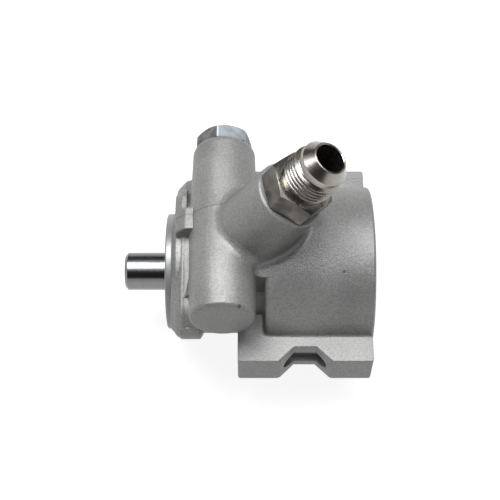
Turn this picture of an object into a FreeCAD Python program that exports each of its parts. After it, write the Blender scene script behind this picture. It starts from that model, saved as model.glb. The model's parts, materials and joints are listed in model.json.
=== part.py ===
import FreeCAD, Part
import math
import os

# Vane pump for power steering, in millimetres.
# The shaft runs along X and its pulley end points to -X.
# The valve barrel lies along Y on top, and the inlet fitting points up (+Z) and back (+X).
# The origin is on the shaft axis, in the front face of the two mounting ears.

Vector = FreeCAD.Vector
ORIGIN = Vector(0, 0, 0)
ALONG_X = Vector(1, 0, 0)
ALONG_Y = Vector(0, 1, 0)
ALONG_Z = Vector(0, 0, 1)

# Clearances
running_clearance = 0.03
press_clearance = 0.01
thread_clearance = 0.02
face_clearance = 0.05
vane_side_clearance = 0.03
o_ring_face_gap = 0.02
ring_side_gap = 0.02
overcut = 1.0

# Drum of the housing
body_radius = 38.1
body_front_x = 11.7
body_rear_x = 58.6
body_front_rounding = 2.2
rear_rim_chamfer = 0.8
floor_thickness = 5.6
drum_wall = 7.1
cavity_mouth_chamfer = 0.9

# Mounting ears
ear_front_x = 0.0
ear_rear_x = 58.2
ear_reach = 10.85
ear_thickness = 17.5
ear_edge_rounding = 1.2
ear_hole_inset = 5.95
ear_hole_radius = 4.25
ear_hole_chamfer = 0.8
notch_middle_x = 29.1
notch_floor_length = 9.2
notch_depth = 6.25
notch_edge_chamfer = 0.8

# Front hub and flange
hub_face_x = -31.6
pilot_radius = 26.0
pilot_length = 2.8
pilot_chamfer = 0.5
skirt_radius = 29.4
skirt_length = 2.1
flange_front_x = -27.9
flange_thickness = 13.8
flange_radius = 29.2
flange_rounding = 5.0
lobe_radius = 12.0
lobe_y = 26.0
lobe_z = 10.5
neck_radius = 28.0
pad_start_y = 5.0
pad_end_y = 31.0
pad_top_z = 26.6
pad_length = 5.2
pad_chamfer = 3.0
pad_corner_radius = 9.0

# Valve barrel
valley_width = 3.1
barrel_sink = 8.1
barrel_radius = 14.9
barrel_draft = 1.0
barrel_lip = 2.1
closed_end_reach = 2.2
open_end_reach = 6.9
barrel_shoulder_length = 3.6
barrel_shoulder_bulge = 0.6
barrel_end_rounding = 1.8
parting_y = 7.0
web_half_width = 25.0
web_rear_x = -1.0
foot_start = 3.4
foot_drop = 0.6
foot_overlap = 0.3
foot_hollow = 1.27

# Bridge from the barrel to the drum, and the rounded feet where the casting's forms meet
bridge_start_y = -21.0
foot_rounding = 4.0
ear_foot_rounding = 1.5

# Inlet boss and fitting
inlet_lean = 30.0
inlet_face_x = 21.9
inlet_rise = 25.1
boss_radius = 15.0
boss_draft = 2.2
boss_length = 40.0
boss_edge_rounding = 0.7
inlet_thread_radius = 11.1
inlet_thread_length = 12.5
inlet_port_depth = 15.0
inlet_port_cone = 2.0
inlet_passage_radius = 7.0
inlet_passage_depth = 45.0
fitting_hex_flats = 25.4
fitting_hex_thickness = 10.0
fitting_hex_chamfer = 1.6
fitting_length = 19.3
fitting_bore_radius = 6.3
fitting_tip_radius = 7.0
fitting_collar_radius = 10.1
fitting_relief_radius = 9.6
fitting_relief_length = 1.5
fitting_relief_cone = 1.0
fitting_nose_length = 7.4
fitting_neck_length = 1.2
fitting_collar_step = 0.5
fitting_thread_chamfer = 1.2
flare_half_angle = 37.0
fitting_groove_length = 3.0
fitting_groove_radius = 9.2
fitting_groove_cone = 0.8
fitting_seat_flare = 1.2
fitting_o_ring_radius = 1.05
fitting_hex_turn = 14.0

# Shaft, bush and seal
shaft_radius = 8.5
journal_radius = 8.3
shaft_nose_x = -50.9
shaft_nose_chamfer = 1.2
shaft_thread_hole_radius = 4.0
shaft_thread_hole_depth = 22.0
shaft_thread_hole_chamfer = 1.0
drill_point_share = 0.6
shaft_shoulder_gap = 0.6
shaft_shoulder_chamfer = 0.5
spline_radius = 7.0
spline_depth = 0.7
spline_teeth = 12
spline_tip_share = 0.38
spline_root_share = 0.58
bush_front_x = -16.0
bush_length = 26.0
bush_wall = 2.0
seal_pocket_radius = 14.3
seal_pocket_depth = 9.0
seal_pocket_chamfer = 0.6
seal_recess = 0.8
seal_width = 7.5
seal_shell_wall = 1.2
seal_window_gap = 3.2
seal_lip_thickness = 1.3
seal_lip_root = 3.1
seal_lip_crest = 1.8
seal_lip_land = 0.8
seal_lip_bevel = 0.5
garter_radius = 0.6
relief_bore_gap = 1.1

# Rotor, vanes and cam ring
cartridge_wall = 11.0
vane_count = 10
vane_thickness = 1.8
vane_height_share = 0.5846
vane_tip_bulge = 0.4
vane_tip_gap = 0.10
vane_first_angle = 63.0
slot_root_radius = 1.3
slot_root_depth = 1.0
cam_clearance = 0.25
cam_rise = 2.2
cam_minor_angle = 45.0
cam_points = 36
cam_ring_width = 15.0
cam_flat_width = 18.0
cam_flat_depth = 1.6

# Plates and pins
plate_edge_gap = 0.1
thrust_plate_thickness = 5.5
thrust_bore_gap = 0.6
pressure_plate_thickness = 8.0
pressure_pocket_radius = 9.0
pressure_pocket_depth = 3.5
port_inner_gap = 1.2
port_width = 3.4
port_sweep = 44.0
suction_port_width = 6.9
suction_pocket_depth = 3.5
root_port_width = 2.6
root_port_depth = 2.0
dowel_radius = 2.4
dowel_inset = 5.1
dowel_angle = 45.0
dowel_in_floor = 3.5
dowel_short_of_plate = 0.5
dowel_hole_extra = 0.5
dowel_chamfer = 0.5
plate_o_ring_radius = 1.2
plate_o_ring_groove_gap = 0.05
o_ring_side_gap = 0.2
shaft_ring_thickness = 1.2
shaft_ring_width = 2.8
shaft_ring_groove_depth = 1.0
shaft_ring_opening = 70.0
shaft_ring_opening_angle = 270.0
shaft_end_beyond_ring = 1.2

# Rear cover
spring_chamber_length = 3.6
cover_thickness = 4.8
cover_dish_radius = 16.0
cover_dish_depth = 1.9
cover_dish_wall = 1.2
cover_edge_chamfer = 0.4
cover_ring_wire_radius = 1.2
cover_ring_in_groove = 0.25
cover_ring_opening = 24.0
cover_ring_opening_angle = 250.0
punch_hole_radius = 1.6
plate_spring_wire_radius = 1.0
plate_spring_radius = 12.4
plate_spring_turns = 2.0
plate_spring_seat_depth = 1.4
plate_spring_seat_gap = 0.6

# Flow control valve
valve_bore_radius = 8.0
valve_floor_thickness = 6.5
port_thread_radius = 9.0
port_thread_length = 14.0
port_thread_cone = 0.8
union_hex_flats = 22.0
union_hex_height = 7.0
union_hex_chamfer = 1.6
union_hex_turn = 15.0
union_groove_length = 2.4
union_groove_radius = 8.0
union_groove_cone = 0.6
union_seat_flare = 1.7
union_o_ring_radius = 0.9
union_shank_length = 13.0
union_shank_chamfer = 1.0
outlet_port_radius = 6.25
outlet_port_depth = 11.0
outlet_port_chamfer = 0.9
outlet_port_cone = 2.4
orifice_radius = 1.6
spool_length = 34.0
spool_head_length = 11.0
spool_neck_length = 6.0
spool_neck_radius = 5.6
spool_nose_chamfer = 0.8
spool_end_chamfer = 0.5
first_balance_groove = 4.0
balance_groove_count = 3
balance_groove_width = 0.7
balance_groove_depth = 0.5
balance_groove_pitch = 3.2
spool_cross_hole_radius = 1.1
spool_cross_hole_pairs = 2
relief_bore_radius = 4.2
relief_bore_depth = 21.0
relief_plug_length = 6.0
relief_plug_hex_flats = 8.0
relief_plug_hex_height = 3.0
relief_plug_hex_chamfer = 0.7
relief_hole_radius = 1.4
relief_ball_radius = 2.2
relief_ball_lift_gap = 0.03
guide_length = 4.0
guide_cup_depth = 0.9
guide_chamfer = 0.4
guide_stem_radius = 1.6
guide_stem_length = 2.0
relief_spring_wire_radius = 0.45
relief_spring_radius = 2.9
relief_spring_turns = 4.0
valve_spring_wire_radius = 0.8
valve_spring_radius = 6.3
valve_spring_turns = 5.0
spring_steps = 16
spring_wire_sides = 8
suction_gallery_radius = 4.0
suction_gallery_drop = 5.0
suction_channel_width = 8.5
suction_channel_edge = 1.0
suction_channel_depth = 2.6
discharge_gallery_radius = 1.75
discharge_gallery_inset = 3.6
discharge_gallery_angle = 43.0

# Hexagons: how far the turned corner cone starts inside the flats, and ends past the corners
hexagon_inset = 0.15
hexagon_corner_clear = 0.26

# Sizes and places worked out from the sizes above
cavity_radius = body_radius - drum_wall
ear_half_width = body_radius + ear_reach
ear_hole_y = ear_half_width - ear_hole_inset
barrel_x = body_front_x - valley_width - barrel_radius
barrel_z = body_radius - barrel_sink
barrel_closed_y = -body_radius - closed_end_reach
barrel_open_y = body_radius + open_end_reach
barrel_end_radius = barrel_radius - barrel_draft
barrel_lip_radius = barrel_end_radius - barrel_lip
inlet_face_z = body_radius + inlet_rise
boss_base_radius = boss_radius + boss_draft
suction_gallery_z = barrel_z - suction_gallery_drop
suction_channel_outer_radius = cavity_radius - suction_channel_edge
suction_channel_inner_radius = suction_channel_outer_radius - suction_channel_width
discharge_gallery_circle_radius = cavity_radius + discharge_gallery_inset
dowel_circle_radius = cavity_radius - dowel_inset
spline_root_radius = spline_radius - spline_depth
rotor_radius = cavity_radius - cartridge_wall
vane_height = vane_height_share * (rotor_radius - spline_radius)
floor_x = body_front_x + floor_thickness
thrust_rear_x = floor_x + thrust_plate_thickness
cam_rear_x = thrust_rear_x + cam_ring_width
pressure_rear_x = cam_rear_x + pressure_plate_thickness
cover_front_x = pressure_rear_x + spring_chamber_length
cover_rear_x = cover_front_x + cover_thickness
cover_ring_x = cover_rear_x + cover_ring_wire_radius
plate_radius = cavity_radius - plate_edge_gap
cam_minor_radius = rotor_radius + cam_clearance
vane_tip_radius = cam_minor_radius - vane_tip_gap
vane_base_radius = vane_tip_radius - vane_height
valve_floor_y = barrel_closed_y + valve_floor_thickness
spool_front_y = barrel_open_y - union_shank_length - face_clearance
spool_rear_y = spool_front_y - spool_length
relief_plug_inner_y = spool_rear_y + relief_plug_length
ball_seat_height = math.sqrt(relief_ball_radius**2 - relief_hole_radius**2)
relief_ball_y = relief_plug_inner_y + ball_seat_height + relief_ball_lift_gap
inlet_direction = Vector(math.sin(math.radians(inlet_lean)), 0, math.cos(math.radians(inlet_lean)))
inlet_face = Vector(inlet_face_x, 0, inlet_face_z)
fitting_front = inlet_face + inlet_direction * fitting_hex_thickness
barrel_axis_point = Vector(barrel_x, 0, barrel_z)


def place(shape, start, direction):
    """Carries a shape built along X so that it starts at a point and runs in a direction."""
    placed = shape.copy()
    carry = FreeCAD.Placement(start, FreeCAD.Rotation(ALONG_X, direction))
    placed.Placement = carry.multiply(placed.Placement)
    return placed


def turned(points, start=ORIGIN, direction=ALONG_X):
    """Solid of revolution from (distance along the axis, radius) points. A third value of a point bends
    the side that ends there: it is the middle point of an arc."""
    edges = []
    last = Vector(points[-1][0], points[-1][1], 0)
    for point in points:
        end = Vector(point[0], point[1], 0)
        if len(point) == 3:
            middle = Vector(point[2][0], point[2][1], 0)
            edges.append(Part.Arc(last, middle, end).toShape())
        else:
            edges.append(Part.makeLine(last, end))
        last = end
    face = Part.Face(Part.Wire(edges))
    return place(face.revolve(ORIGIN, ALONG_X, 360), start, direction)


def rod(start, direction, length, radius):
    """Plain cylinder from a point."""
    return Part.makeCylinder(radius, length, start, direction)


def tube(x_start, x_end, inner, outer):
    """Plain ring about the shaft axis."""
    ring = rod(Vector(x_start, 0, 0), ALONG_X, x_end - x_start, outer)
    return ring.cut(drill_through(Vector(x_start, 0, 0), x_end - x_start, inner))


def drill_through(centre, length, radius):
    """Cutter for a hole along X that passes both faces of a plate."""
    return rod(centre - ALONG_X * overcut, ALONG_X, length + 2 * overcut, radius)


def flat_face(points):
    """Face with straight sides between points."""
    return Part.Face(Part.makePolygon(points + points[:1]))


def bowed(start, end, bulge):
    """Middle point of the arc between two profile points that bulges to the left of the way between them."""
    length = math.hypot(end[0] - start[0], end[1] - start[1])
    left = (-(end[1] - start[1]) / length * bulge, (end[0] - start[0]) / length * bulge)
    return (start[0] + end[0]) / 2 + left[0], (start[1] + end[1]) / 2 + left[1]


def box(low, high):
    """Block between two corners."""
    size = high - low
    return Part.makeBox(size.x, size.y, size.z, low)


def polar(x, radius, degrees):
    """Point about the shaft axis, with the angle measured from +Y towards +Z."""
    angle = math.radians(degrees)
    return Vector(x, radius * math.cos(angle), radius * math.sin(angle))


def hexagon(flats, height, turn, chamfer, both_ends):
    """Hexagon bar along X whose corners are turned down at its far end, or at both ends."""
    corner = flats / math.sqrt(3)
    bar = flat_face([polar(0, corner, turn + 60 * i) for i in range(6)]).extrude(Vector(height, 0, 0))
    face_radius = flats / 2 - hexagon_inset
    wide = corner + hexagon_corner_clear
    profile = [(0, 0), (0, wide)]
    if both_ends:
        profile = [(0, 0), (0, face_radius), (chamfer, wide)]
    profile += [(height - chamfer, wide), (height, face_radius), (height, 0)]
    return bar.common(turned(profile))


def ring_points(centre, across, along, radius, count):
    """Points evenly round a circle that lies in the plane of two unit vectors."""
    turns = [2 * math.pi * i / count for i in range(count)]
    return [centre + across * (radius * math.cos(t)) + along * (radius * math.sin(t)) for t in turns]


def coil_spring(length, radius, wire_radius, turns):
    """Compression spring along X: an eight-sided wire swept with mitred corners along short straight steps."""
    count = round(turns * spring_steps)
    rise = (length - 2 * wire_radius) / count
    points = [polar(wire_radius + rise * i, radius, 360 / spring_steps * i) for i in range(count + 1)]
    forward = (points[1] - points[0]).normalize()
    side = forward.cross(ALONG_Y).normalize()
    ring = ring_points(points[0], side.cross(forward), side, wire_radius, spring_wire_sides)
    profile = Part.makePolygon(ring + ring[:1])
    return Part.makePolygon(points).makePipeShell([profile], True, False, 1)


def spline_bar(x_start, length, grow):
    """Bar with straight-sided spline teeth about the shaft axis."""
    pitch = 360 / spline_teeth
    points = []
    for tooth in range(spline_teeth):
        middle = tooth * pitch
        tip_half = pitch * spline_tip_share / 2 + math.degrees(grow / spline_radius)
        root_half = pitch * spline_root_share / 2 + math.degrees(grow / spline_root_radius)
        points.append(polar(x_start, spline_root_radius + grow, middle - root_half))
        points.append(polar(x_start, spline_radius + grow, middle - tip_half))
        points.append(polar(x_start, spline_radius + grow, middle + tip_half))
        points.append(polar(x_start, spline_root_radius + grow, middle + root_half))
    return flat_face(points).extrude(Vector(length, 0, 0))


def edges_where(shape, test, samples=7):
    """Edges whose sample points all satisfy a test."""
    return [edge for edge in shape.Edges if all(test(point) for point in edge.discretize(samples))]


def cam_radius(degrees):
    """Radius of the cam track at an angle."""
    turn = math.radians(2 * (degrees - cam_minor_angle))
    return cam_minor_radius + cam_rise / 2 * (1 - math.cos(turn))


def drum():
    """Main drum with the bridge that runs forward to the barrel, down to the gap on the closed side."""
    solid = rod(Vector(body_front_x, 0, 0), ALONG_X, body_rear_x - body_front_x, body_radius)
    forward = rod(Vector(barrel_x, 0, 0), ALONG_X, body_front_x + floor_thickness - barrel_x, body_radius)
    low = Vector(barrel_x - 1, bridge_start_y, 0)
    high = Vector(body_rear_x, body_radius + 1, body_radius + 1)
    solid = solid.fuse(forward.common(box(low, high))).removeSplitter()

    def front_edge(p):
        return abs(p.x - body_front_x) < 0.01 and on_drum(p)

    solid = solid.makeFillet(body_front_rounding, edges_where(solid, front_edge))
    rear = edges_where(solid, lambda p: abs(p.x - body_rear_x) < 0.01)
    return solid.makeChamfer(rear_rim_chamfer, rear)


def ear_plate():
    """Both ears as one plate through the drum, with a notch in each outer edge."""
    half = ear_thickness / 2
    top = notch_floor_length / 2 + notch_depth
    outline = []
    for side in (-1, 1):
        edge_y = side * ear_half_width
        floor_y = side * (ear_half_width - notch_depth)
        stations = [(ear_front_x, edge_y), (notch_middle_x - top, edge_y)]
        stations += [(notch_middle_x - notch_floor_length / 2, floor_y)]
        stations += [(notch_middle_x + notch_floor_length / 2, floor_y)]
        stations += [(notch_middle_x + top, edge_y), (ear_rear_x, edge_y)]
        outline += stations if side < 0 else stations[::-1]
    plate = flat_face([Vector(x, y, -half) for x, y in outline]).extrude(Vector(0, 0, ear_thickness))

    def corner(p):
        on_end = abs(p.x - ear_front_x) < 0.01 or abs(p.x - ear_rear_x) < 0.01
        return on_end and abs(abs(p.y) - ear_half_width) < 0.01

    plate = plate.makeFillet(ear_edge_rounding, edges_where(plate, corner))

    def notch(p):
        on_face = abs(abs(p.z) - half) < 0.01
        in_notch = abs(p.x - notch_middle_x) < top + 0.01 and abs(p.y) < ear_half_width + 0.01
        return on_face and in_notch

    return plate.makeChamfer(notch_edge_chamfer, edges_where(plate, notch))


def ear_holes():
    """Holes through both ears, square at the machined front face and chamfered at the rear."""
    length = ear_rear_x - ear_front_x
    wide = ear_hole_radius + ear_hole_chamfer
    profile = [(-overcut, 0), (-overcut, ear_hole_radius)]
    profile += [(length - ear_hole_chamfer, ear_hole_radius), (length, wide)]
    profile += [(length + overcut, wide), (length + overcut, 0)]
    holes = []
    for side in (-1, 1):
        holes.append(turned(profile, Vector(ear_front_x, side * ear_hole_y, 0)))
    return holes


def hub():
    """Pilot, skirt and neck, all turned about the shaft axis."""
    pilot_rear = hub_face_x + pilot_length
    skirt_rear = pilot_rear + skirt_length
    profile = [(hub_face_x, 0), (hub_face_x, pilot_radius - pilot_chamfer)]
    profile += [(hub_face_x + pilot_chamfer, pilot_radius), (pilot_rear, pilot_radius)]
    profile += [(skirt_rear, skirt_radius), (skirt_rear + flange_rounding, skirt_radius)]
    neck_end = body_front_x + floor_thickness / 2
    profile += [(skirt_rear + flange_rounding, neck_radius), (neck_end, neck_radius), (neck_end, 0)]
    return turned(profile)


def hull_face(x, circles):
    """Face round circles (y, z, radius), joined by their outer tangents and listed from +Y towards +Z."""
    normals = []
    for index, (y, z, radius) in enumerate(circles):
        next_y, next_z, next_radius = circles[(index + 1) % len(circles)]
        distance = math.hypot(next_y - y, next_z - z)
        heading = math.atan2(next_z - z, next_y - y)
        normals.append(heading - math.acos((radius - next_radius) / distance))
    edges = []
    for index, (y, z, radius) in enumerate(circles):
        first = normals[index - 1]
        last = normals[index]
        while last < first:
            last += 2 * math.pi
        points = []
        for angle in (first, (first + last) / 2, last):
            points.append(Vector(x, y + radius * math.cos(angle), z + radius * math.sin(angle)))
        if edges:
            edges.append(Part.makeLine(corner, points[0]))
        else:
            opening = points[0]
        edges.append(Part.Arc(*points).toShape())
        corner = points[2]
    edges.append(Part.makeLine(corner, opening))
    return Part.Face(Part.Wire(edges))


def flange():
    """Front flange: a disc drawn out to two lobes that carry the barrel's ends."""
    circles = [(0, 0, flange_radius), (lobe_y, lobe_z, lobe_radius), (-lobe_y, lobe_z, lobe_radius)]
    solid = hull_face(flange_front_x, circles).extrude(Vector(flange_thickness, 0, 0))
    rims = edges_where(solid, lambda p: abs(p.x - flange_front_x) < 0.01)
    rims += edges_where(solid, lambda p: abs(p.x - flange_front_x - flange_thickness) < 0.01)
    return solid.makeFillet(flange_rounding, rims)


def flange_pad():
    """Raised pad above the parting line, with a sloped front edge."""
    low = Vector(flange_front_x, pad_start_y, 0)
    high = Vector(flange_front_x + pad_length, pad_end_y, pad_top_z)
    solid = box(low, high)
    corner = edges_where(solid, lambda p: abs(p.y - pad_end_y) < 0.01 and abs(p.z - pad_top_z) < 0.01)
    solid = solid.makeFillet(pad_corner_radius, corner)

    def sloped(p):
        return abs(p.x - flange_front_x) < 0.01 and p.z > pad_top_z - pad_corner_radius - 0.01

    return solid.makeChamfer(pad_chamfer, edges_where(solid, sloped))


def barrel():
    """Valve barrel, drafted both ways from the parting line, with a rounded shoulder and closed end."""
    bend = barrel_end_rounding
    diagonal = bend * (1 - math.sqrt(0.5))
    shoulder = (barrel_open_y - barrel_shoulder_length, barrel_end_radius)
    lip = (barrel_open_y, barrel_lip_radius)
    profile = [(barrel_closed_y, 0), (barrel_closed_y, barrel_end_radius - bend)]
    turn = (barrel_closed_y + diagonal, barrel_end_radius - diagonal)
    profile += [(barrel_closed_y + bend, barrel_end_radius, turn), (parting_y, barrel_radius)]
    profile += [shoulder, (*lip, bowed(shoulder, lip, barrel_shoulder_bulge)), (barrel_open_y, 0)]
    return turned(profile, barrel_axis_point, ALONG_Y)


def web():
    """Web under the barrel that joins it to the neck."""
    low = Vector(flange_front_x + flange_thickness - flange_rounding, -web_half_width, 0)
    high = Vector(web_rear_x, web_half_width, barrel_z)
    return box(low, high)


def barrel_foot():
    """Hollow slope from the flange's top edge up to the barrel's front side."""
    low = (flange_front_x + foot_start, lobe_z + lobe_radius - foot_drop)
    top = (barrel_x - barrel_end_radius + foot_overlap, barrel_z)
    outline = [low, bowed(low, top, -foot_hollow), top, (barrel_x, barrel_z), (barrel_x, low[1])]
    points = [Vector(x, -lobe_y, z) for x, z in outline]
    edges = [Part.Arc(*points[:3]).toShape(), Part.makePolygon(points[2:] + points[:1])]
    return Part.Face(Part.Wire(edges)).extrude(Vector(0, 2 * lobe_y, 0))


def inlet_boss():
    """Drafted boss that carries the inlet fitting."""
    edge = boss_edge_rounding
    profile = [(0, 0), (0, boss_radius - edge), (edge, boss_radius)]
    profile += [(boss_length, boss_base_radius), (boss_length, 0)]
    return turned(profile, inlet_face, inlet_direction * -1)


def on_drum(point):
    """Whether a point lies on the drum's round side."""
    return abs(math.hypot(point.y, point.z) - body_radius) < 0.02


def round_faces(solid, direction, through):
    """Cylinder and cone faces whose axis has a direction and passes through a point."""
    found = []
    for face in solid.Faces:
        surface = face.Surface
        if not isinstance(surface, (Part.Cylinder, Part.Cone)):
            continue
        origin = surface.Center if isinstance(surface, Part.Cylinder) else surface.Apex
        offset = (origin - through).cross(direction).Length
        if surface.Axis.cross(direction).Length < 0.001 and offset < 0.01:
            found.append(face)
    return found


def shared_edges(faces_a, faces_b):
    """Edges where a face of one list meets a face of the other."""
    found = []
    for face_a in faces_a:
        for face_b in faces_b:
            found += [a for a in face_a.Edges if any(a.isSame(b) for b in face_b.Edges)]
    return found


def housing_outside():
    """Outer form of the casting, with rounded feet where its main forms meet."""
    solid = drum().fuse(barrel()).fuse(inlet_boss()).removeSplitter()
    drum_faces = round_faces(solid, ALONG_X, ORIGIN)
    barrel_faces = round_faces(solid, ALONG_Y, barrel_axis_point)
    boss_faces = round_faces(solid, inlet_direction, inlet_face)
    feet = shared_edges(boss_faces, drum_faces + barrel_faces) + shared_edges(barrel_faces, drum_faces)
    solid = solid.makeFillet(foot_rounding, feet)
    solid = solid.fuse([ear_plate(), hub(), flange(), flange_pad(), web(), barrel_foot()]).removeSplitter()

    def ear_foot(p):
        return abs(abs(p.z) - ear_thickness / 2) < 0.01 and on_drum(p) and p.x > ear_front_x - 0.01

    return solid.makeFillet(ear_foot_rounding, edges_where(solid, ear_foot))


def pump_cavity():
    """Rear cavity for the cartridge, with the wire ring's groove, pin holes and suction channel."""
    mouth = cavity_mouth_chamfer
    profile = [(floor_x, 0), (floor_x, cavity_radius), (body_rear_x - mouth, cavity_radius)]
    profile += [(body_rear_x, cavity_radius + mouth), (body_rear_x + overcut, cavity_radius + mouth)]
    profile += [(body_rear_x + overcut, 0)]
    cuts = [turned(profile)]
    groove_radius = cavity_radius + cover_ring_in_groove
    cuts.append(Part.makeTorus(groove_radius, cover_ring_wire_radius, Vector(cover_ring_x, 0, 0), ALONG_X))
    inner = suction_channel_inner_radius
    outer = suction_channel_outer_radius
    cuts.append(tube(floor_x - suction_channel_depth, floor_x + overcut, inner, outer))
    punch = Vector(cover_ring_x, 0, -body_radius - overcut)
    cuts.append(rod(punch, ALONG_Z, body_radius - cavity_radius + 2 * overcut, punch_hole_radius))
    return cuts


def dowel_centres(x):
    """Centres of the two dowel pins at a station along the shaft."""
    return [polar(x, dowel_circle_radius, dowel_angle), polar(x, dowel_circle_radius, dowel_angle + 180)]


def shaft_passage():
    """Seal pocket, bush bore and shaft clearance through the front wall."""
    pocket_floor = hub_face_x + seal_pocket_depth
    free_radius = journal_radius + relief_bore_gap
    bush_radius = journal_radius + bush_wall
    bush_rear_x = bush_front_x + bush_length
    mouth = seal_pocket_radius + seal_pocket_chamfer
    profile = [(hub_face_x - overcut, 0), (hub_face_x - overcut, mouth), (hub_face_x, mouth)]
    profile += [(hub_face_x + seal_pocket_chamfer, seal_pocket_radius), (pocket_floor, seal_pocket_radius)]
    profile += [(pocket_floor, free_radius), (bush_front_x, free_radius), (bush_front_x, bush_radius)]
    profile += [(bush_rear_x, bush_radius), (bush_rear_x, free_radius)]
    profile += [(floor_x + overcut, free_radius), (floor_x + overcut, 0)]
    return turned(profile)


def valve_bore():
    """Blind bore along the barrel, with the tapped port at its open end."""
    length = barrel_open_y - valve_floor_y
    mouth = port_thread_radius + union_seat_flare
    profile = [(-overcut, 0), (-overcut, mouth), (0, mouth), (union_groove_length, port_thread_radius)]
    profile += [(port_thread_length, port_thread_radius)]
    profile += [(port_thread_length + port_thread_cone, valve_bore_radius)]
    profile += [(length, valve_bore_radius), (length, 0)]
    return turned(profile, Vector(barrel_x, barrel_open_y, barrel_z), ALONG_Y * -1)


def inlet_port():
    """Tapped inlet port and the drilled passage down to the valve bore."""
    mouth = inlet_thread_radius + fitting_seat_flare
    profile = [(-overcut, 0), (-overcut, mouth), (0, mouth), (fitting_groove_length, inlet_thread_radius)]
    profile += [(inlet_port_depth, inlet_thread_radius)]
    profile += [(inlet_port_depth + inlet_port_cone, inlet_passage_radius)]
    profile += [(inlet_passage_depth, inlet_passage_radius), (inlet_passage_depth, 0)]
    return turned(profile, inlet_face, inlet_direction * -1)


def galleries():
    """Suction gallery behind the barrel, and discharge gallery from the rear chamber to the valve."""
    suction_length = floor_x + overcut - barrel_x
    suction = rod(Vector(barrel_x, 0, suction_gallery_z), ALONG_X, suction_length, suction_gallery_radius)
    chamber_x = pressure_rear_x + discharge_gallery_radius
    start = polar(barrel_x, discharge_gallery_circle_radius, discharge_gallery_angle)
    discharge = rod(start, ALONG_X, chamber_x - barrel_x, discharge_gallery_radius)
    inward = polar(chamber_x, cavity_radius - overcut, discharge_gallery_angle)
    outward = polar(0, 1, discharge_gallery_angle)
    reach = discharge_gallery_circle_radius - cavity_radius + overcut
    return [suction, discharge, rod(inward, outward, reach, discharge_gallery_radius)]


def pump_housing():
    """The casting with all its machined bores."""
    solid = housing_outside()
    cuts = ear_holes() + pump_cavity() + [shaft_passage(), valve_bore(), inlet_port()] + galleries()
    depth = dowel_in_floor + dowel_hole_extra
    for centre in dowel_centres(floor_x - depth):
        cuts.append(rod(centre, ALONG_X, depth + overcut, dowel_radius + press_clearance))
    return solid.cut(cuts)


def front_bush():
    """Plain bearing bush."""
    inner = journal_radius + running_clearance
    return tube(bush_front_x, bush_front_x + bush_length, inner, journal_radius + bush_wall)


def seal_pieces():
    """Steel shell, rubber lip and garter spring of the shaft seal."""
    front = hub_face_x + seal_recess
    rear = front + seal_width
    wall = seal_shell_wall
    outer = seal_pocket_radius
    shell_inner = outer - wall
    flange_inner = journal_radius + seal_window_gap
    profile = [(front, flange_inner), (front, outer), (rear, outer), (rear, shell_inner)]
    profile += [(front + wall, shell_inner), (front + wall, flange_inner)]
    shell = turned(profile)
    lip = seal_lip_thickness
    inner = journal_radius + running_clearance
    heel = front + wall
    edge = rear - lip
    profile = [(heel, flange_inner), (heel, shell_inner), (heel + lip, shell_inner)]
    profile += [(heel + lip, inner + seal_lip_root), (edge, inner + seal_lip_crest)]
    profile += [(edge + seal_lip_bevel, inner + lip), (edge, inner), (edge - seal_lip_land, inner)]
    profile += [(heel, inner + lip)]
    rubber = turned(profile)
    garter_centre = Vector(edge - seal_lip_land - garter_radius, 0, 0)
    garter = Part.makeTorus(inner + seal_lip_crest + garter_radius, garter_radius, garter_centre, ALONG_X)
    return shell, rubber.cut(garter), garter


def drive_shaft():
    """Press-fit nose with a tapped centre, journal, and splined rear end."""
    shoulder_x = floor_x - shaft_shoulder_gap
    end_x = cam_rear_x + shaft_ring_thickness + shaft_end_beyond_ring
    chamfer = shaft_nose_chamfer
    profile = [(shaft_nose_x, 0), (shaft_nose_x, shaft_radius - chamfer)]
    profile += [(shaft_nose_x + chamfer, shaft_radius), (hub_face_x, shaft_radius)]
    profile += [(hub_face_x, journal_radius)]
    step = shaft_shoulder_chamfer
    profile += [(shoulder_x - step, journal_radius), (shoulder_x, journal_radius - step), (shoulder_x, 0)]
    solid = turned(profile).fuse(spline_bar(shoulder_x, end_x - shoulder_x, 0))
    hole = shaft_thread_hole_radius
    depth = shaft_thread_hole_depth
    mouth = hole + shaft_thread_hole_chamfer
    profile = [(-overcut, 0), (-overcut, mouth), (0, mouth), (shaft_thread_hole_chamfer, hole)]
    profile += [(depth, hole), (depth + hole * drill_point_share, 0)]
    groove_start = cam_rear_x - ring_side_gap
    groove_end = cam_rear_x + shaft_ring_thickness + ring_side_gap
    groove = tube(groove_start, groove_end, spline_radius - shaft_ring_groove_depth, spline_radius + overcut)
    return solid.cut([turned(profile, Vector(shaft_nose_x, 0, 0)), groove])


def rotor():
    """Slotted rotor on the spline."""
    front = thrust_rear_x + face_clearance
    length = cam_ring_width - 2 * face_clearance
    solid = rod(Vector(front, 0, 0), ALONG_X, length, rotor_radius)
    cuts = [spline_bar(front - overcut, length + 2 * overcut, thread_clearance)]
    half = vane_thickness / 2 + vane_side_clearance
    root = vane_base_radius - slot_root_depth
    low = Vector(front - overcut, root, -half)
    high = Vector(front + length + overcut, rotor_radius + overcut, half)
    cutter = box(low, high).fuse(drill_through(Vector(front, root, 0), length, slot_root_radius))
    for index in range(vane_count):
        slot = cutter.copy()
        slot.rotate(ORIGIN, ALONG_X, vane_angle(index))
        cuts.append(slot)
    return solid.cut(cuts)


def vane_angle(index):
    """Angle of a vane at rest."""
    return vane_first_angle + 360 / vane_count * index


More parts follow.
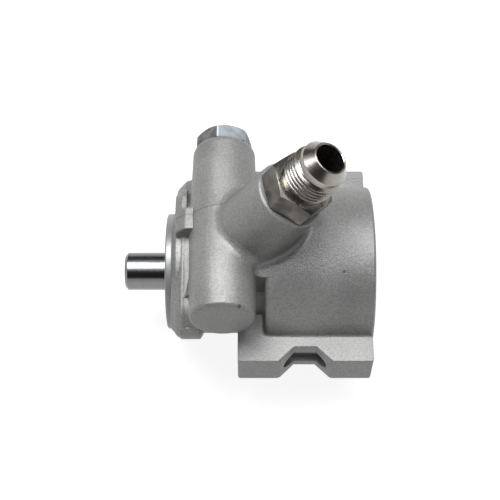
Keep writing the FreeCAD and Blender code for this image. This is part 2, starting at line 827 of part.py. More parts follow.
def vane(index):
    """One vane with a rounded tip, in its slot."""
    half = vane_thickness / 2
    front = thrust_rear_x + face_clearance
    side = vane_tip_radius - vane_tip_bulge
    corners = [Vector(front, side, -half), Vector(front, vane_base_radius, -half)]
    corners += [Vector(front, vane_base_radius, half), Vector(front, side, half)]
    edges = [Part.makeLine(corners[i], corners[i + 1]) for i in range(3)]
    edges.append(Part.Arc(corners[3], Vector(front, vane_tip_radius, 0), corners[0]).toShape())
    length = cam_ring_width - 2 * face_clearance
    solid = Part.Face(Part.Wire(edges)).extrude(Vector(length, 0, 0))
    solid.rotate(ORIGIN, ALONG_X, vane_angle(index))
    return solid


def cam_ring():
    """Ring with the two-lobed track inside and two suction flats outside."""
    track = []
    for step in range(cam_points):
        degrees = 360 / cam_points * step
        track.append(polar(thrust_rear_x - overcut, cam_radius(degrees), degrees))
    curve = Part.BSplineCurve()
    curve.interpolate(Points=track, PeriodicFlag=True)
    hole = Part.Face(Part.Wire(curve.toShape())).extrude(Vector(cam_ring_width + 2 * overcut, 0, 0))
    solid = rod(Vector(thrust_rear_x, 0, 0), ALONG_X, cam_ring_width, plate_radius)
    cuts = [hole] + dowel_holes(thrust_rear_x, cam_ring_width)
    low = Vector(thrust_rear_x - overcut, -cam_flat_width / 2, plate_radius - cam_flat_depth)
    high = Vector(cam_rear_x + overcut, cam_flat_width / 2, plate_radius + overcut)
    for side in (0, 180):
        flat = box(low, high)
        flat.rotate(ORIGIN, ALONG_X, side)
        cuts.append(flat)
    return solid.cut(cuts)


def arc_port(x_start, length, inner, outer, middle_angle, sweep):
    """Kidney-shaped port about the shaft axis, with round ends."""
    middle = (inner + outer) / 2
    half_width = (outer - inner) / 2
    start = middle_angle - sweep / 2
    corners = [(x_start, inner), (x_start, outer), (x_start + length, outer), (x_start + length, inner)]
    port = flat_face([Vector(x, radius, 0) for x, radius in corners]).revolve(ORIGIN, ALONG_X, sweep)
    port.rotate(ORIGIN, ALONG_X, start)
    for angle in (start, start + sweep):
        port = port.fuse(rod(polar(x_start, middle, angle), ALONG_X, length, half_width))
    return port


def port_angles():
    """Middle angles of the two suction ports and the two discharge ports."""
    suction = [cam_minor_angle + 45, cam_minor_angle + 225]
    discharge = [cam_minor_angle + 135, cam_minor_angle + 315]
    return suction, discharge


def dowel_holes(x_start, length):
    """Cutters for both pin holes through a plate or ring."""
    radius = dowel_radius + press_clearance
    return [drill_through(centre, length, radius) for centre in dowel_centres(x_start)]


def kidney_ports(x_start, length, width, angles):
    """Ports of one width at several angles, on the rotor's edge."""
    inner = rotor_radius - port_inner_gap
    return [arc_port(x_start, length, inner, inner + width, angle, port_sweep) for angle in angles]


def thrust_plate():
    """Front side plate, with suction ports through it, and pockets and grooves in its rear face."""
    thickness = thrust_plate_thickness
    front = Vector(floor_x, 0, 0)
    cuts = [drill_through(front, thickness, spline_radius + thrust_bore_gap)]
    suction, discharge = port_angles()
    cuts += kidney_ports(floor_x - overcut, thickness + 2 * overcut, suction_port_width, suction)
    cuts += kidney_ports(thrust_rear_x - root_port_depth, root_port_depth + overcut, port_width, discharge)
    inner = vane_base_radius - slot_root_depth - root_port_width / 2
    outer = inner + root_port_width
    start = thrust_rear_x - root_port_depth
    for angle in suction + discharge:
        cuts.append(arc_port(start, root_port_depth + overcut, inner, outer, angle, port_sweep))
    cuts += dowel_holes(floor_x, thickness)
    return rod(front, ALONG_X, thickness, plate_radius).cut(cuts)


def pressure_plate():
    """Rear side plate with discharge ports, suction pockets, a spring seat and an O-ring groove."""
    length = pressure_plate_thickness
    front = cam_rear_x - overcut
    cuts = [rod(Vector(front, 0, 0), ALONG_X, pressure_pocket_depth + overcut, pressure_pocket_radius)]
    suction, discharge = port_angles()
    cuts += kidney_ports(front, length + 2 * overcut, port_width, discharge)
    cuts += kidney_ports(front, suction_pocket_depth + overcut, suction_port_width, suction)
    for angle in suction + discharge:
        centre = polar(cam_rear_x, vane_base_radius - slot_root_depth, angle)
        cuts.append(drill_through(centre, length, root_port_width / 2))
    cuts += dowel_holes(cam_rear_x, length)
    cuts.append(o_ring_groove(cam_rear_x + length / 2))
    seat = pressure_rear_x - plate_spring_seat_depth
    inner = plate_spring_radius - plate_spring_wire_radius - plate_spring_seat_gap
    outer = plate_spring_radius + plate_spring_wire_radius + plate_spring_seat_gap
    cuts.append(tube(seat, pressure_rear_x + overcut, inner, outer))
    return rod(Vector(cam_rear_x, 0, 0), ALONG_X, length, plate_radius).cut(cuts)


def o_ring_groove(x_middle):
    """Cutter for the groove round a plate in the cavity."""
    half = plate_o_ring_radius + o_ring_side_gap
    floor = cavity_radius - 2 * plate_o_ring_radius - plate_o_ring_groove_gap
    return tube(x_middle - half, x_middle + half, floor, cavity_radius + overcut)


def plate_o_ring(x_middle):
    """O-ring in a plate's groove."""
    major = cavity_radius - plate_o_ring_radius
    return Part.makeTorus(major, plate_o_ring_radius, Vector(x_middle, 0, 0), ALONG_X)


def pressure_plate_spring():
    """Spring between the pressure plate and the cover."""
    start = pressure_rear_x - plate_spring_seat_depth
    end = cover_front_x + cover_dish_depth
    coil = coil_spring(end - start, plate_spring_radius, plate_spring_wire_radius, plate_spring_turns)
    return place(coil, Vector(start, 0, 0), ALONG_X)


def dowel_pin(centre):
    """Pin from the housing floor through both plates and the cam ring."""
    length = pressure_rear_x - floor_x + dowel_in_floor - dowel_short_of_plate
    end_radius = dowel_radius - dowel_chamfer
    profile = [(0, 0), (0, end_radius), (dowel_chamfer, dowel_radius)]
    profile += [(length - dowel_chamfer, dowel_radius), (length, end_radius), (length, 0)]
    return turned(profile, centre)


def shaft_retaining_ring():
    """Open ring that holds the rotor on the spline."""
    inner = spline_radius - shaft_ring_groove_depth + ring_side_gap
    outer = inner + shaft_ring_width
    solid = tube(cam_rear_x, cam_rear_x + shaft_ring_thickness, inner, outer)
    start = cam_rear_x - overcut
    length = shaft_ring_thickness + 2 * overcut
    return solid.cut(sector(start, length, outer + overcut, shaft_ring_opening_angle, shaft_ring_opening))


def sector(x_start, length, radius, middle_angle, sweep):
    """Wedge about the shaft axis."""
    wedge = Part.makeCylinder(radius, length, Vector(x_start, 0, 0), ALONG_X, sweep)
    reference = wedge.CenterOfMass
    found = math.degrees(math.atan2(reference.z, reference.y))
    wedge.rotate(ORIGIN, ALONG_X, middle_angle - found)
    return wedge


def end_cover():
    """Pressed rear cover with a dished middle and an O-ring groove in its rim."""
    dish = cover_dish_radius
    depth = cover_dish_depth
    edge = cover_edge_chamfer
    outer = dish + cover_dish_wall
    profile = [(cover_front_x + depth, 0), (cover_front_x + depth, dish - depth), (cover_front_x, dish)]
    profile += [(cover_front_x, plate_radius), (cover_rear_x - edge, plate_radius)]
    profile += [(cover_rear_x, plate_radius - edge), (cover_rear_x, outer)]
    profile += [(cover_rear_x + depth, outer - depth), (cover_rear_x + depth, 0)]
    return turned(profile).cut(o_ring_groove(cover_front_x + cover_thickness / 2))


def cover_retaining_ring():
    """Open wire ring in the groove behind the cover."""
    major = cavity_radius + cover_ring_in_groove
    wire = cover_ring_wire_radius
    solid = Part.makeTorus(major, wire, Vector(cover_ring_x, 0, 0), ALONG_X)
    start = cover_ring_x - 2 * wire
    return solid.cut(sector(start, 4 * wire, major + 2 * wire, cover_ring_opening_angle, cover_ring_opening))


def outlet_union():
    """Hexagon union with the female pressure port and the metering orifice."""
    open_end = Vector(barrel_x, barrel_open_y, barrel_z)
    head = hexagon(union_hex_flats, union_hex_height, union_hex_turn, union_hex_chamfer, False)
    thread = port_thread_radius - thread_clearance
    length = union_shank_length
    chamfer = union_shank_chamfer
    profile = [(0, 0), (0, union_groove_radius), (union_groove_length, union_groove_radius)]
    profile += [(union_groove_length + union_groove_cone, thread), (length - chamfer, thread)]
    profile += [(length, thread - chamfer), (length, 0)]
    shank = turned(profile, open_end, ALONG_Y * -1)
    port = outlet_port_radius
    depth = outlet_port_depth
    mouth = port + outlet_port_chamfer
    end = union_hex_height + length + overcut
    profile = [(-overcut, 0), (-overcut, mouth), (0, mouth), (outlet_port_chamfer, port), (depth, port)]
    profile += [(depth + outlet_port_cone, orifice_radius), (end, orifice_radius), (end, 0)]
    bore = turned(profile, open_end + ALONG_Y * union_hex_height, ALONG_Y * -1)
    return place(head, open_end, ALONG_Y).fuse(shank).removeSplitter().cut(bore)


def union_o_ring():
    """O-ring under the union's hexagon."""
    radius = union_o_ring_radius
    centre = Vector(barrel_x, barrel_open_y - radius - o_ring_face_gap, barrel_z)
    return Part.makeTorus(union_groove_radius + radius, radius, centre, ALONG_Y)


def inlet_fitting():
    """Hexagon adapter with a straight thread below and a flare nose above."""
    head = hexagon(fitting_hex_flats, fitting_hex_thickness, fitting_hex_turn, fitting_hex_chamfer, True)
    relief = fitting_relief_radius
    collar = fitting_collar_radius
    neck_start = fitting_length - fitting_nose_length
    neck_end = neck_start + fitting_neck_length
    cone_length = (collar - fitting_tip_radius) / math.tan(math.radians(flare_half_angle))
    profile = [(0, 0), (0, relief), (fitting_relief_length, relief)]
    profile += [(fitting_relief_length + fitting_relief_cone, inlet_thread_radius)]
    profile += [(neck_start - fitting_thread_chamfer, inlet_thread_radius), (neck_start, relief)]
    profile += [(neck_end, relief), (neck_end + fitting_collar_step, collar)]
    profile += [(fitting_length - cone_length, collar), (fitting_length, fitting_tip_radius)]
    profile += [(fitting_length, 0)]
    nose = turned(profile, fitting_front, inlet_direction)
    groove_end = fitting_groove_length
    length = inlet_thread_length
    held = inlet_thread_radius - thread_clearance
    chamfer = fitting_thread_chamfer
    profile = [(0, 0), (0, fitting_groove_radius), (groove_end, fitting_groove_radius)]
    profile += [(groove_end + fitting_groove_cone, held), (length - chamfer, held)]
    profile += [(length, held - chamfer), (length, 0)]
    stem = turned(profile, inlet_face, inlet_direction * -1)
    bore_start = inlet_face - inlet_direction * (length + overcut)
    bore_length = length + fitting_hex_thickness + fitting_length + 2 * overcut
    bore = rod(bore_start, inlet_direction, bore_length, fitting_bore_radius)
    return place(head, inlet_face, inlet_direction).fuse([nose, stem]).removeSplitter().cut(bore)


def inlet_fitting_o_ring():
    """O-ring under the fitting's hexagon."""
    radius = fitting_o_ring_radius
    centre = inlet_face - inlet_direction * (radius + o_ring_face_gap)
    return Part.makeTorus(fitting_groove_radius + radius, radius, centre, inlet_direction)


def along_barrel(profile, y_start, sign):
    """Turned piece on the valve's axis, measured from a station along Y."""
    return turned(profile, Vector(barrel_x, y_start, barrel_z), ALONG_Y * sign)


def flow_valve_spool():
    """Spool with two lands, a waist, balance grooves and a bore for the relief valve."""
    land = valve_bore_radius - running_clearance
    head = spool_head_length
    neck = spool_neck_length
    length = spool_length
    nose = spool_nose_chamfer
    end = spool_end_chamfer
    profile = [(0, 0), (0, land - nose), (nose, land), (head, land), (head, spool_neck_radius)]
    profile += [(head + neck, spool_neck_radius), (head + neck, land)]
    for groove in range(balance_groove_count):
        near = head + neck + first_balance_groove + groove * balance_groove_pitch
        far = near + balance_groove_width
        deep = land - balance_groove_depth
        profile += [(near, land), (near, deep), (far, deep), (far, land)]
    profile += [(length - end, land), (length, land - end), (length, 0)]
    solid = along_barrel(profile, spool_front_y, -1)
    bore_start = Vector(barrel_x, spool_rear_y - overcut, barrel_z)
    cuts = [rod(bore_start, ALONG_Y, relief_bore_depth + overcut, relief_bore_radius)]
    cross_middle = Vector(barrel_x, spool_front_y - head - neck / 2, barrel_z)
    for index in range(spool_cross_hole_pairs):
        turn = math.pi / spool_cross_hole_pairs * index
        direction = Vector(math.cos(turn), 0, math.sin(turn))
        cuts.append(rod(cross_middle - direction * land, direction, 2 * land, spool_cross_hole_radius))
    return solid.cut(cuts)


def relief_plug():
    """Hexagon plug in the spool's end, with the relief seat in it."""
    spool_end = Vector(barrel_x, spool_rear_y, barrel_z)
    shank = rod(spool_end, ALONG_Y, relief_plug_length, relief_bore_radius - press_clearance)
    head = hexagon(relief_plug_hex_flats, relief_plug_hex_height, 0, relief_plug_hex_chamfer, False)
    hole_start = spool_end - ALONG_Y * (relief_plug_hex_height + overcut)
    hole_length = relief_plug_hex_height + relief_plug_length + 2 * overcut
    hole = rod(hole_start, ALONG_Y, hole_length, relief_hole_radius)
    return shank.fuse(place(head, spool_end, ALONG_Y * -1)).cut(hole)


def relief_ball():
    """Relief ball just on its seat."""
    return Part.makeSphere(relief_ball_radius, Vector(barrel_x, relief_ball_y, barrel_z))


def relief_guide():
    """Guide that carries the ball and pilots the relief spring."""
    outer = relief_bore_radius - running_clearance
    start = relief_ball_y + relief_ball_radius - guide_cup_depth
    length = guide_length
    profile = [(0, 0), (0, outer - guide_chamfer), (guide_chamfer, outer), (length, outer)]
    profile += [(length, guide_stem_radius)]
    profile += [(length + guide_stem_length, guide_stem_radius), (length + guide_stem_length, 0)]
    return along_barrel(profile, start, 1).cut(relief_ball())


def relief_spring():
    """Spring behind the guide."""
    start = relief_ball_y + relief_ball_radius - guide_cup_depth + guide_length
    end = spool_rear_y + relief_bore_depth
    coil = coil_spring(end - start, relief_spring_radius, relief_spring_wire_radius, relief_spring_turns)
    return place(coil, Vector(barrel_x, start, barrel_z), ALONG_Y)


def flow_valve_spring():
    """Main spring between the barrel's closed end and the spool."""
    length = spool_rear_y - valve_floor_y
    coil = coil_spring(length, valve_spring_radius, valve_spring_wire_radius, valve_spring_turns)
    return place(coil, Vector(barrel_x, valve_floor_y, barrel_z), ALONG_Y)


def all_parts():
    """Every piece by its name."""
    shell, lip, garter = seal_pieces()
    parts = {
        "pump_housing": pump_housing(),
        "front_bush": front_bush(),
        "shaft_seal_shell": shell,
        "shaft_seal_lip": lip,
        "seal_garter_spring": garter,
        "drive_shaft": drive_shaft(),
        "rotor": rotor(),
        "shaft_retaining_ring": shaft_retaining_ring(),
        "thrust_plate": thrust_plate(),
        "cam_ring": cam_ring(),
        "pressure_plate": pressure_plate(),
        "pressure_plate_o_ring": plate_o_ring(cam_rear_x + pressure_plate_thickness / 2),
        "pressure_plate_spring": pressure_plate_spring(),
        "end_cover": end_cover(),
        "end_cover_o_ring": plate_o_ring(cover_front_x + cover_thickness / 2),
        "cover_retaining_ring": cover_retaining_ring(),
        "outlet_union": outlet_union(),
        "union_o_ring": union_o_ring(),
        "inlet_fitting": inlet_fitting(),
        "inlet_fitting_o_ring": inlet_fitting_o_ring(),
        "flow_valve_spool": flow_valve_spool(),
        "flow_valve_spring": flow_valve_spring(),
        "relief_plug": relief_plug(),
        "relief_ball": relief_ball(),
        "relief_guide": relief_guide(),
        "relief_spring": relief_spring(),
    }
    for index in range(vane_count):
        parts[f"vane_{index + 1:02d}"] = vane(index)
    for index, centre in enumerate(dowel_centres(floor_x - dowel_in_floor)):
        parts[f"dowel_pin_{index + 1}"] = dowel_pin(centre)
    return parts


os.makedirs("parts", exist_ok=True)
for name, shape in all_parts().items():
    shape.exportStep(f"parts/{name}.step")
    print(name, "solids", len(shape.Solids), "valid", shape.isValid(), "volume", round(shape.Volume, 1))
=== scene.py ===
from dataclasses import dataclass, field
from enum import Enum
from functools import reduce
import json
import logging
import math

import bmesh
import bpy
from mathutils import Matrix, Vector


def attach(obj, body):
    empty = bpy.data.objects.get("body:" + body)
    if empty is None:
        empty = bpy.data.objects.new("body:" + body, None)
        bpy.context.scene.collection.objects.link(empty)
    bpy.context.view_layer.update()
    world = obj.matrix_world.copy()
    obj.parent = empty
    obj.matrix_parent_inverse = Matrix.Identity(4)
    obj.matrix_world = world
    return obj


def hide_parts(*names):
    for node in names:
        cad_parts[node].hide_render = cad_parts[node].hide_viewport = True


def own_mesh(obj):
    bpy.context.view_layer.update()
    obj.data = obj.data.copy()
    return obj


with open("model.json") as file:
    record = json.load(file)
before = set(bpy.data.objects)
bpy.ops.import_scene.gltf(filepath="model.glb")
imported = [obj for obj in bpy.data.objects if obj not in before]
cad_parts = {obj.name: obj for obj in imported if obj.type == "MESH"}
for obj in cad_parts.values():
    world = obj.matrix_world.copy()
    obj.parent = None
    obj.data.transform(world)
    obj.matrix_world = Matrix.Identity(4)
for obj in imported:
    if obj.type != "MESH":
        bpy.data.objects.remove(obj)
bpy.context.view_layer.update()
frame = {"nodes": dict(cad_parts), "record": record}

log = logging.getLogger("steering_pump")

MM = 0.001
TURN = 2 * math.pi
ORIGIN = Vector((0.0, 0.0, 0.0))
ALONG_X = Vector((1.0, 0.0, 0.0))
ALONG_Y = Vector((0.0, 1.0, 0.0))
ALONG_Z = Vector((0.0, 0.0, 1.0))

# Sockets of the Mix node when it mixes colours
MIX_FIRST, MIX_SECOND, MIX_RESULT = 6, 7, 2
BEVEL_SAMPLES = 6

Pair = tuple[float, float]
Triple = tuple[float, float, float]
Socket = bpy.types.NodeSocket
Value = Socket | float | tuple
Solid = bmesh.types.BMesh


def shades(colour: Triple, low: float, high: float) -> tuple:
    """Returns two shades of a colour, which keep the shares low and high of it."""
    return tuple(c * low for c in colour), tuple(c * high for c in colour)


class Grain(Enum):
    """Ways in which the fine relief runs."""

    EVEN = "alike in every direction"
    TURNED = "circles on faces square to the shaft"
    GROUND = "lines round the shaft"


@dataclass(frozen=True)
class Finish:
    """Colour, gloss and relief of one kind of surface.

    Sizes are in millimetres. The relief is the height of the grain, and the mottle is how far
    the colour wanders from its mean. The tones say where in a noise the darkest and lightest
    shades lie, and the gloss range multiplies the mean roughness.
    """

    name: str
    colour: Triple
    metallic: float
    roughness: float
    grain: Grain = Grain.EVEN
    grain_size: float = 0.5
    relief: float = 0.01
    mottle: float = 0.08
    edge_rounding: float = 0.0
    anisotropy: float = 0.0
    tones: Pair = (0.38, 0.62)
    gloss_range: Pair = (0.9, 1.12)
    grain_share: float = 0.6
    patch_grains: float = 14.0
    line_stretch: Triple = (1.0, 0.02, 0.02)

    def material(self) -> bpy.types.Material:
        """Builds the finish as a Blender material.

        Returns:
            The material, ready for an object's slot.
        """
        sheet = ShaderSheet(self.name)
        sheet.surface(self.metallic, self.roughness, self.anisotropy)
        self.paint(sheet)
        return sheet.material

    def paint(self, sheet: "ShaderSheet") -> None:
        """Lays colour, gloss and relief on a sheet.

        Args:
            sheet: Holds the material's nodes.
        """
        place = sheet.place()
        fine = sheet.noise(self.stretched(sheet, place), self.grain_size)
        patches = sheet.noise(place, self.patch_grains * self.grain_size)
        sheet.colour(self.mottled(sheet, sheet.weighed(fine, patches, self.grain_share)))
        sheet.gloss(self.wandering_gloss(sheet, patches))
        sheet.relief(fine, self.relief, self.edge_rounding)

    def mottled(self, sheet: "ShaderSheet", noise: Socket) -> Socket:
        """Returns the colour, darker and lighter as a noise goes."""
        return sheet.ramp(noise, self.tones, shades(self.colour, 1 - self.mottle, 1 + self.mottle))

    def wandering_gloss(self, sheet: "ShaderSheet", noise: Socket) -> Socket:
        """Returns the roughness, higher and lower as a noise goes."""
        low, high = self.gloss_range
        return sheet.spread(noise, self.roughness * low, self.roughness * high)

    def stretched(self, sheet: "ShaderSheet", place: Socket) -> Socket:
        """Stretches the grain for lines and circles about the shaft.

        Args:
            sheet: Holds the material's nodes.
            place: The point on the surface, in metres.

        Returns:
            The point at which the grain is read.
        """
        if self.grain is Grain.GROUND:
            return sheet.vector("MULTIPLY", place, self.line_stretch).outputs["Vector"]
        if self.grain is Grain.TURNED:
            return sheet.circles(place)
        return place


class ShaderSheet:
    """A material's node tree, with short methods for the nodes that the finishes share."""

    def __init__(self, name: str) -> None:
        """Makes an empty material.

        Args:
            name: The material's name.
        """
        self.material = bpy.data.materials.new(name)
        self.material.use_nodes = True
        self.tree = self.material.node_tree
        self.shader = self.tree.nodes["Principled BSDF"]

    def node(self, kind: str, **settings: str | int) -> bpy.types.Node:
        """Adds a node.

        Args:
            kind: The node's type.
            **settings: Its properties.

        Returns:
            The new node.
        """
        made = self.tree.nodes.new(kind)
        for key, value in settings.items():
            setattr(made, key, value)
        return made

    def feed(self, socket: Socket, value: Value) -> None:
        """Links a socket to another, or sets its value.

        Args:
            socket: The input to feed.
            value: An output socket, or a plain value.
        """
        if isinstance(value, Socket):
            self.tree.links.new(value, socket)
        else:
            socket.default_value = value

    def surface(self, metallic: float, roughness: float, anisotropy: float = 0.0) -> None:
        """Sets the constants of the surface shader.

        Args:
            metallic: 0 for paint, rubber and plastic, up to 1 for bare metal.
            roughness: The mean roughness.
            anisotropy: How far the gloss is drawn out across the grain.
        """
        self.shader.inputs["Metallic"].default_value = metallic
        self.shader.inputs["Roughness"].default_value = roughness
        self.shader.inputs["Anisotropic"].default_value = anisotropy

    def place(self) -> Socket:
        """Returns the point on the object, in metres."""
        return self.node("ShaderNodeTexCoord").outputs["Object"]

    def math(self, operation: str, *values: Value) -> Socket:
        """Works out a number.

        Args:
            operation: The name of the sum.
            *values: Its numbers or sockets.

        Returns:
            The result's socket.
        """
        made = self.node("ShaderNodeMath", operation=operation)
        for socket, value in zip(made.inputs, values):
            self.feed(socket, value)
        return made.outputs[0]

    def vector(self, operation: str, *values: Value) -> bpy.types.Node:
        """Works out a vector.

        Args:
            operation: The name of the sum.
            *values: Its vectors or sockets.

        Returns:
            The node, whose outputs are named Vector and Value.
        """
        made = self.node("ShaderNodeVectorMath", operation=operation)
        for socket, value in zip(made.inputs, values):
            self.feed(socket, value)
        return made

    def coordinates(self, place: Socket) -> list[Socket]:
        """Returns a point's X, Y and Z."""
        made = self.node("ShaderNodeSeparateXYZ")
        self.feed(made.inputs[0], place)
        return list(made.outputs)

    def circles(self, place: Socket) -> Socket:
        """Returns a point that moves only with the distance from the shaft, for turned circles."""
        made = self.node("ShaderNodeCombineXYZ")
        self.feed(made.inputs[0], self.radius(place, ORIGIN, ALONG_X))
        return made.outputs[0]

    def radius(self, place: Socket, through: Vector, axis: Vector) -> Socket:
        """Distance from an axis.

        Args:
            place: The point on the surface.
            through: A point on the axis, in metres.
            axis: The axis's direction, of length 1.

        Returns:
            The distance, in metres.
        """
        offset = self.vector("SUBTRACT", place, tuple(through)).outputs["Vector"]
        reach = self.vector("CROSS_PRODUCT", offset, tuple(axis)).outputs["Vector"]
        return self.vector("LENGTH", reach).outputs["Value"]

    def distance(self, place: Socket, centre: Vector) -> Socket:
        """Returns the distance of a point from a centre, in metres."""
        return self.vector("DISTANCE", place, tuple(centre)).outputs["Value"]

    def below(self, value: Value, limit: float) -> Socket:
        """Returns 1 where a distance is below a limit in millimetres."""
        return self.math("LESS_THAN", value, limit * MM)

    def above(self, value: Value, limit: float) -> Socket:
        """Returns 1 where a distance is above a limit in millimetres."""
        return self.math("GREATER_THAN", value, limit * MM)

    def between(self, value: Value, low: float, high: float) -> Socket:
        """Returns 1 where a distance is between two limits in millimetres."""
        return self.both(self.above(value, low), self.below(value, high))

    def both(self, *masks: Value) -> Socket:
        """Returns 1 where every mask is 1."""
        return reduce(lambda first, second: self.math("MULTIPLY", first, second), masks)

    def either(self, *masks: Value) -> Socket:
        """Returns 1 where any mask is 1."""
        return reduce(lambda first, second: self.math("MAXIMUM", first, second), masks)

    def weighed(self, first: Value, second: Value, share: float) -> Socket:
        """Returns the mean of two numbers, in which the first has the given share."""
        return self.math("MULTIPLY_ADD", first, share, self.math("MULTIPLY", second, 1 - share))

    def noise(self, place: Socket, size: float, detail: float = 2.0) -> Socket:
        """Soft random grain.

        Args:
            place: The point at which it is read, in metres.
            size: The grain's size in millimetres.
            detail: How many finer layers it holds.

        Returns:
            The grain, from 0 to 1.
        """
        made = self.node("ShaderNodeTexNoise")
        self.feed(made.inputs["Vector"], place)
        made.inputs["Scale"].default_value = 1 / (size * MM)
        made.inputs["Detail"].default_value = detail
        return made.outputs["Fac"]

    def ramp(self, value: Value, tones: Pair, ends: tuple) -> Socket:
        """Turns a number into a colour.

        Args:
            value: The number.
            tones: The numbers at which the two end colours are reached.
            ends: The two end colours.

        Returns:
            The colour's socket.
        """
        made = self.node("ShaderNodeValToRGB")
        self.feed(made.inputs[0], value)
        for element, position, colour in zip(made.color_ramp.elements, tones, ends):
            element.position = position
            element.color = (*colour, 1.0)
        return made.outputs["Color"]

    def mix(self, share: Value, first: Value, second: Value) -> Socket:
        """Mixes two colours.

        Args:
            share: How much of the second shows, from 0 to 1.
            first: The first colour's socket or value.
            second: The second colour's socket or value.

        Returns:
            The mixed colour.
        """
        made = self.node("ShaderNodeMix", data_type="RGBA")
        self.feed(made.inputs["Factor"], share)
        for index, colour in ((MIX_FIRST, first), (MIX_SECOND, second)):
            self.feed(made.inputs[index], colour if isinstance(colour, Socket) else (*colour, 1.0))
        return made.outputs[MIX_RESULT]

    def spread(self, value: Value, low: float, high: float) -> Socket:
        """Returns a number from 0 to 1, carried to the range from low to high."""
        return self.math("MULTIPLY_ADD", value, high - low, low)

    def colour(self, value: Value) -> None:
        """Feeds the surface's colour."""
        self.feed(self.shader.inputs["Base Color"], value)

    def gloss(self, value: Value) -> None:
        """Feeds the surface's roughness."""
        self.feed(self.shader.inputs["Roughness"], value)

    def relief(self, height: Value, depth: float, edge_rounding: float = 0.0) -> None:
        """Feeds the surface's fine relief.

        Args:
            height: The relief, from 0 to 1.
            depth: Its full height in millimetres.
            edge_rounding: The radius in millimetres to which sharp edges are softened.
        """
        bump = self.node("ShaderNodeBump")
        bump.inputs["Distance"].default_value = depth * MM
        self.feed(bump.inputs["Height"], height)
        if edge_rounding > 0:
            soft = self.node("ShaderNodeBevel", samples=BEVEL_SAMPLES)
            soft.inputs["Radius"].default_value = edge_rounding * MM
            self.feed(bump.inputs["Normal"], soft.outputs["Normal"])
        self.feed(self.shader.inputs["Normal"], bump.outputs["Normal"])


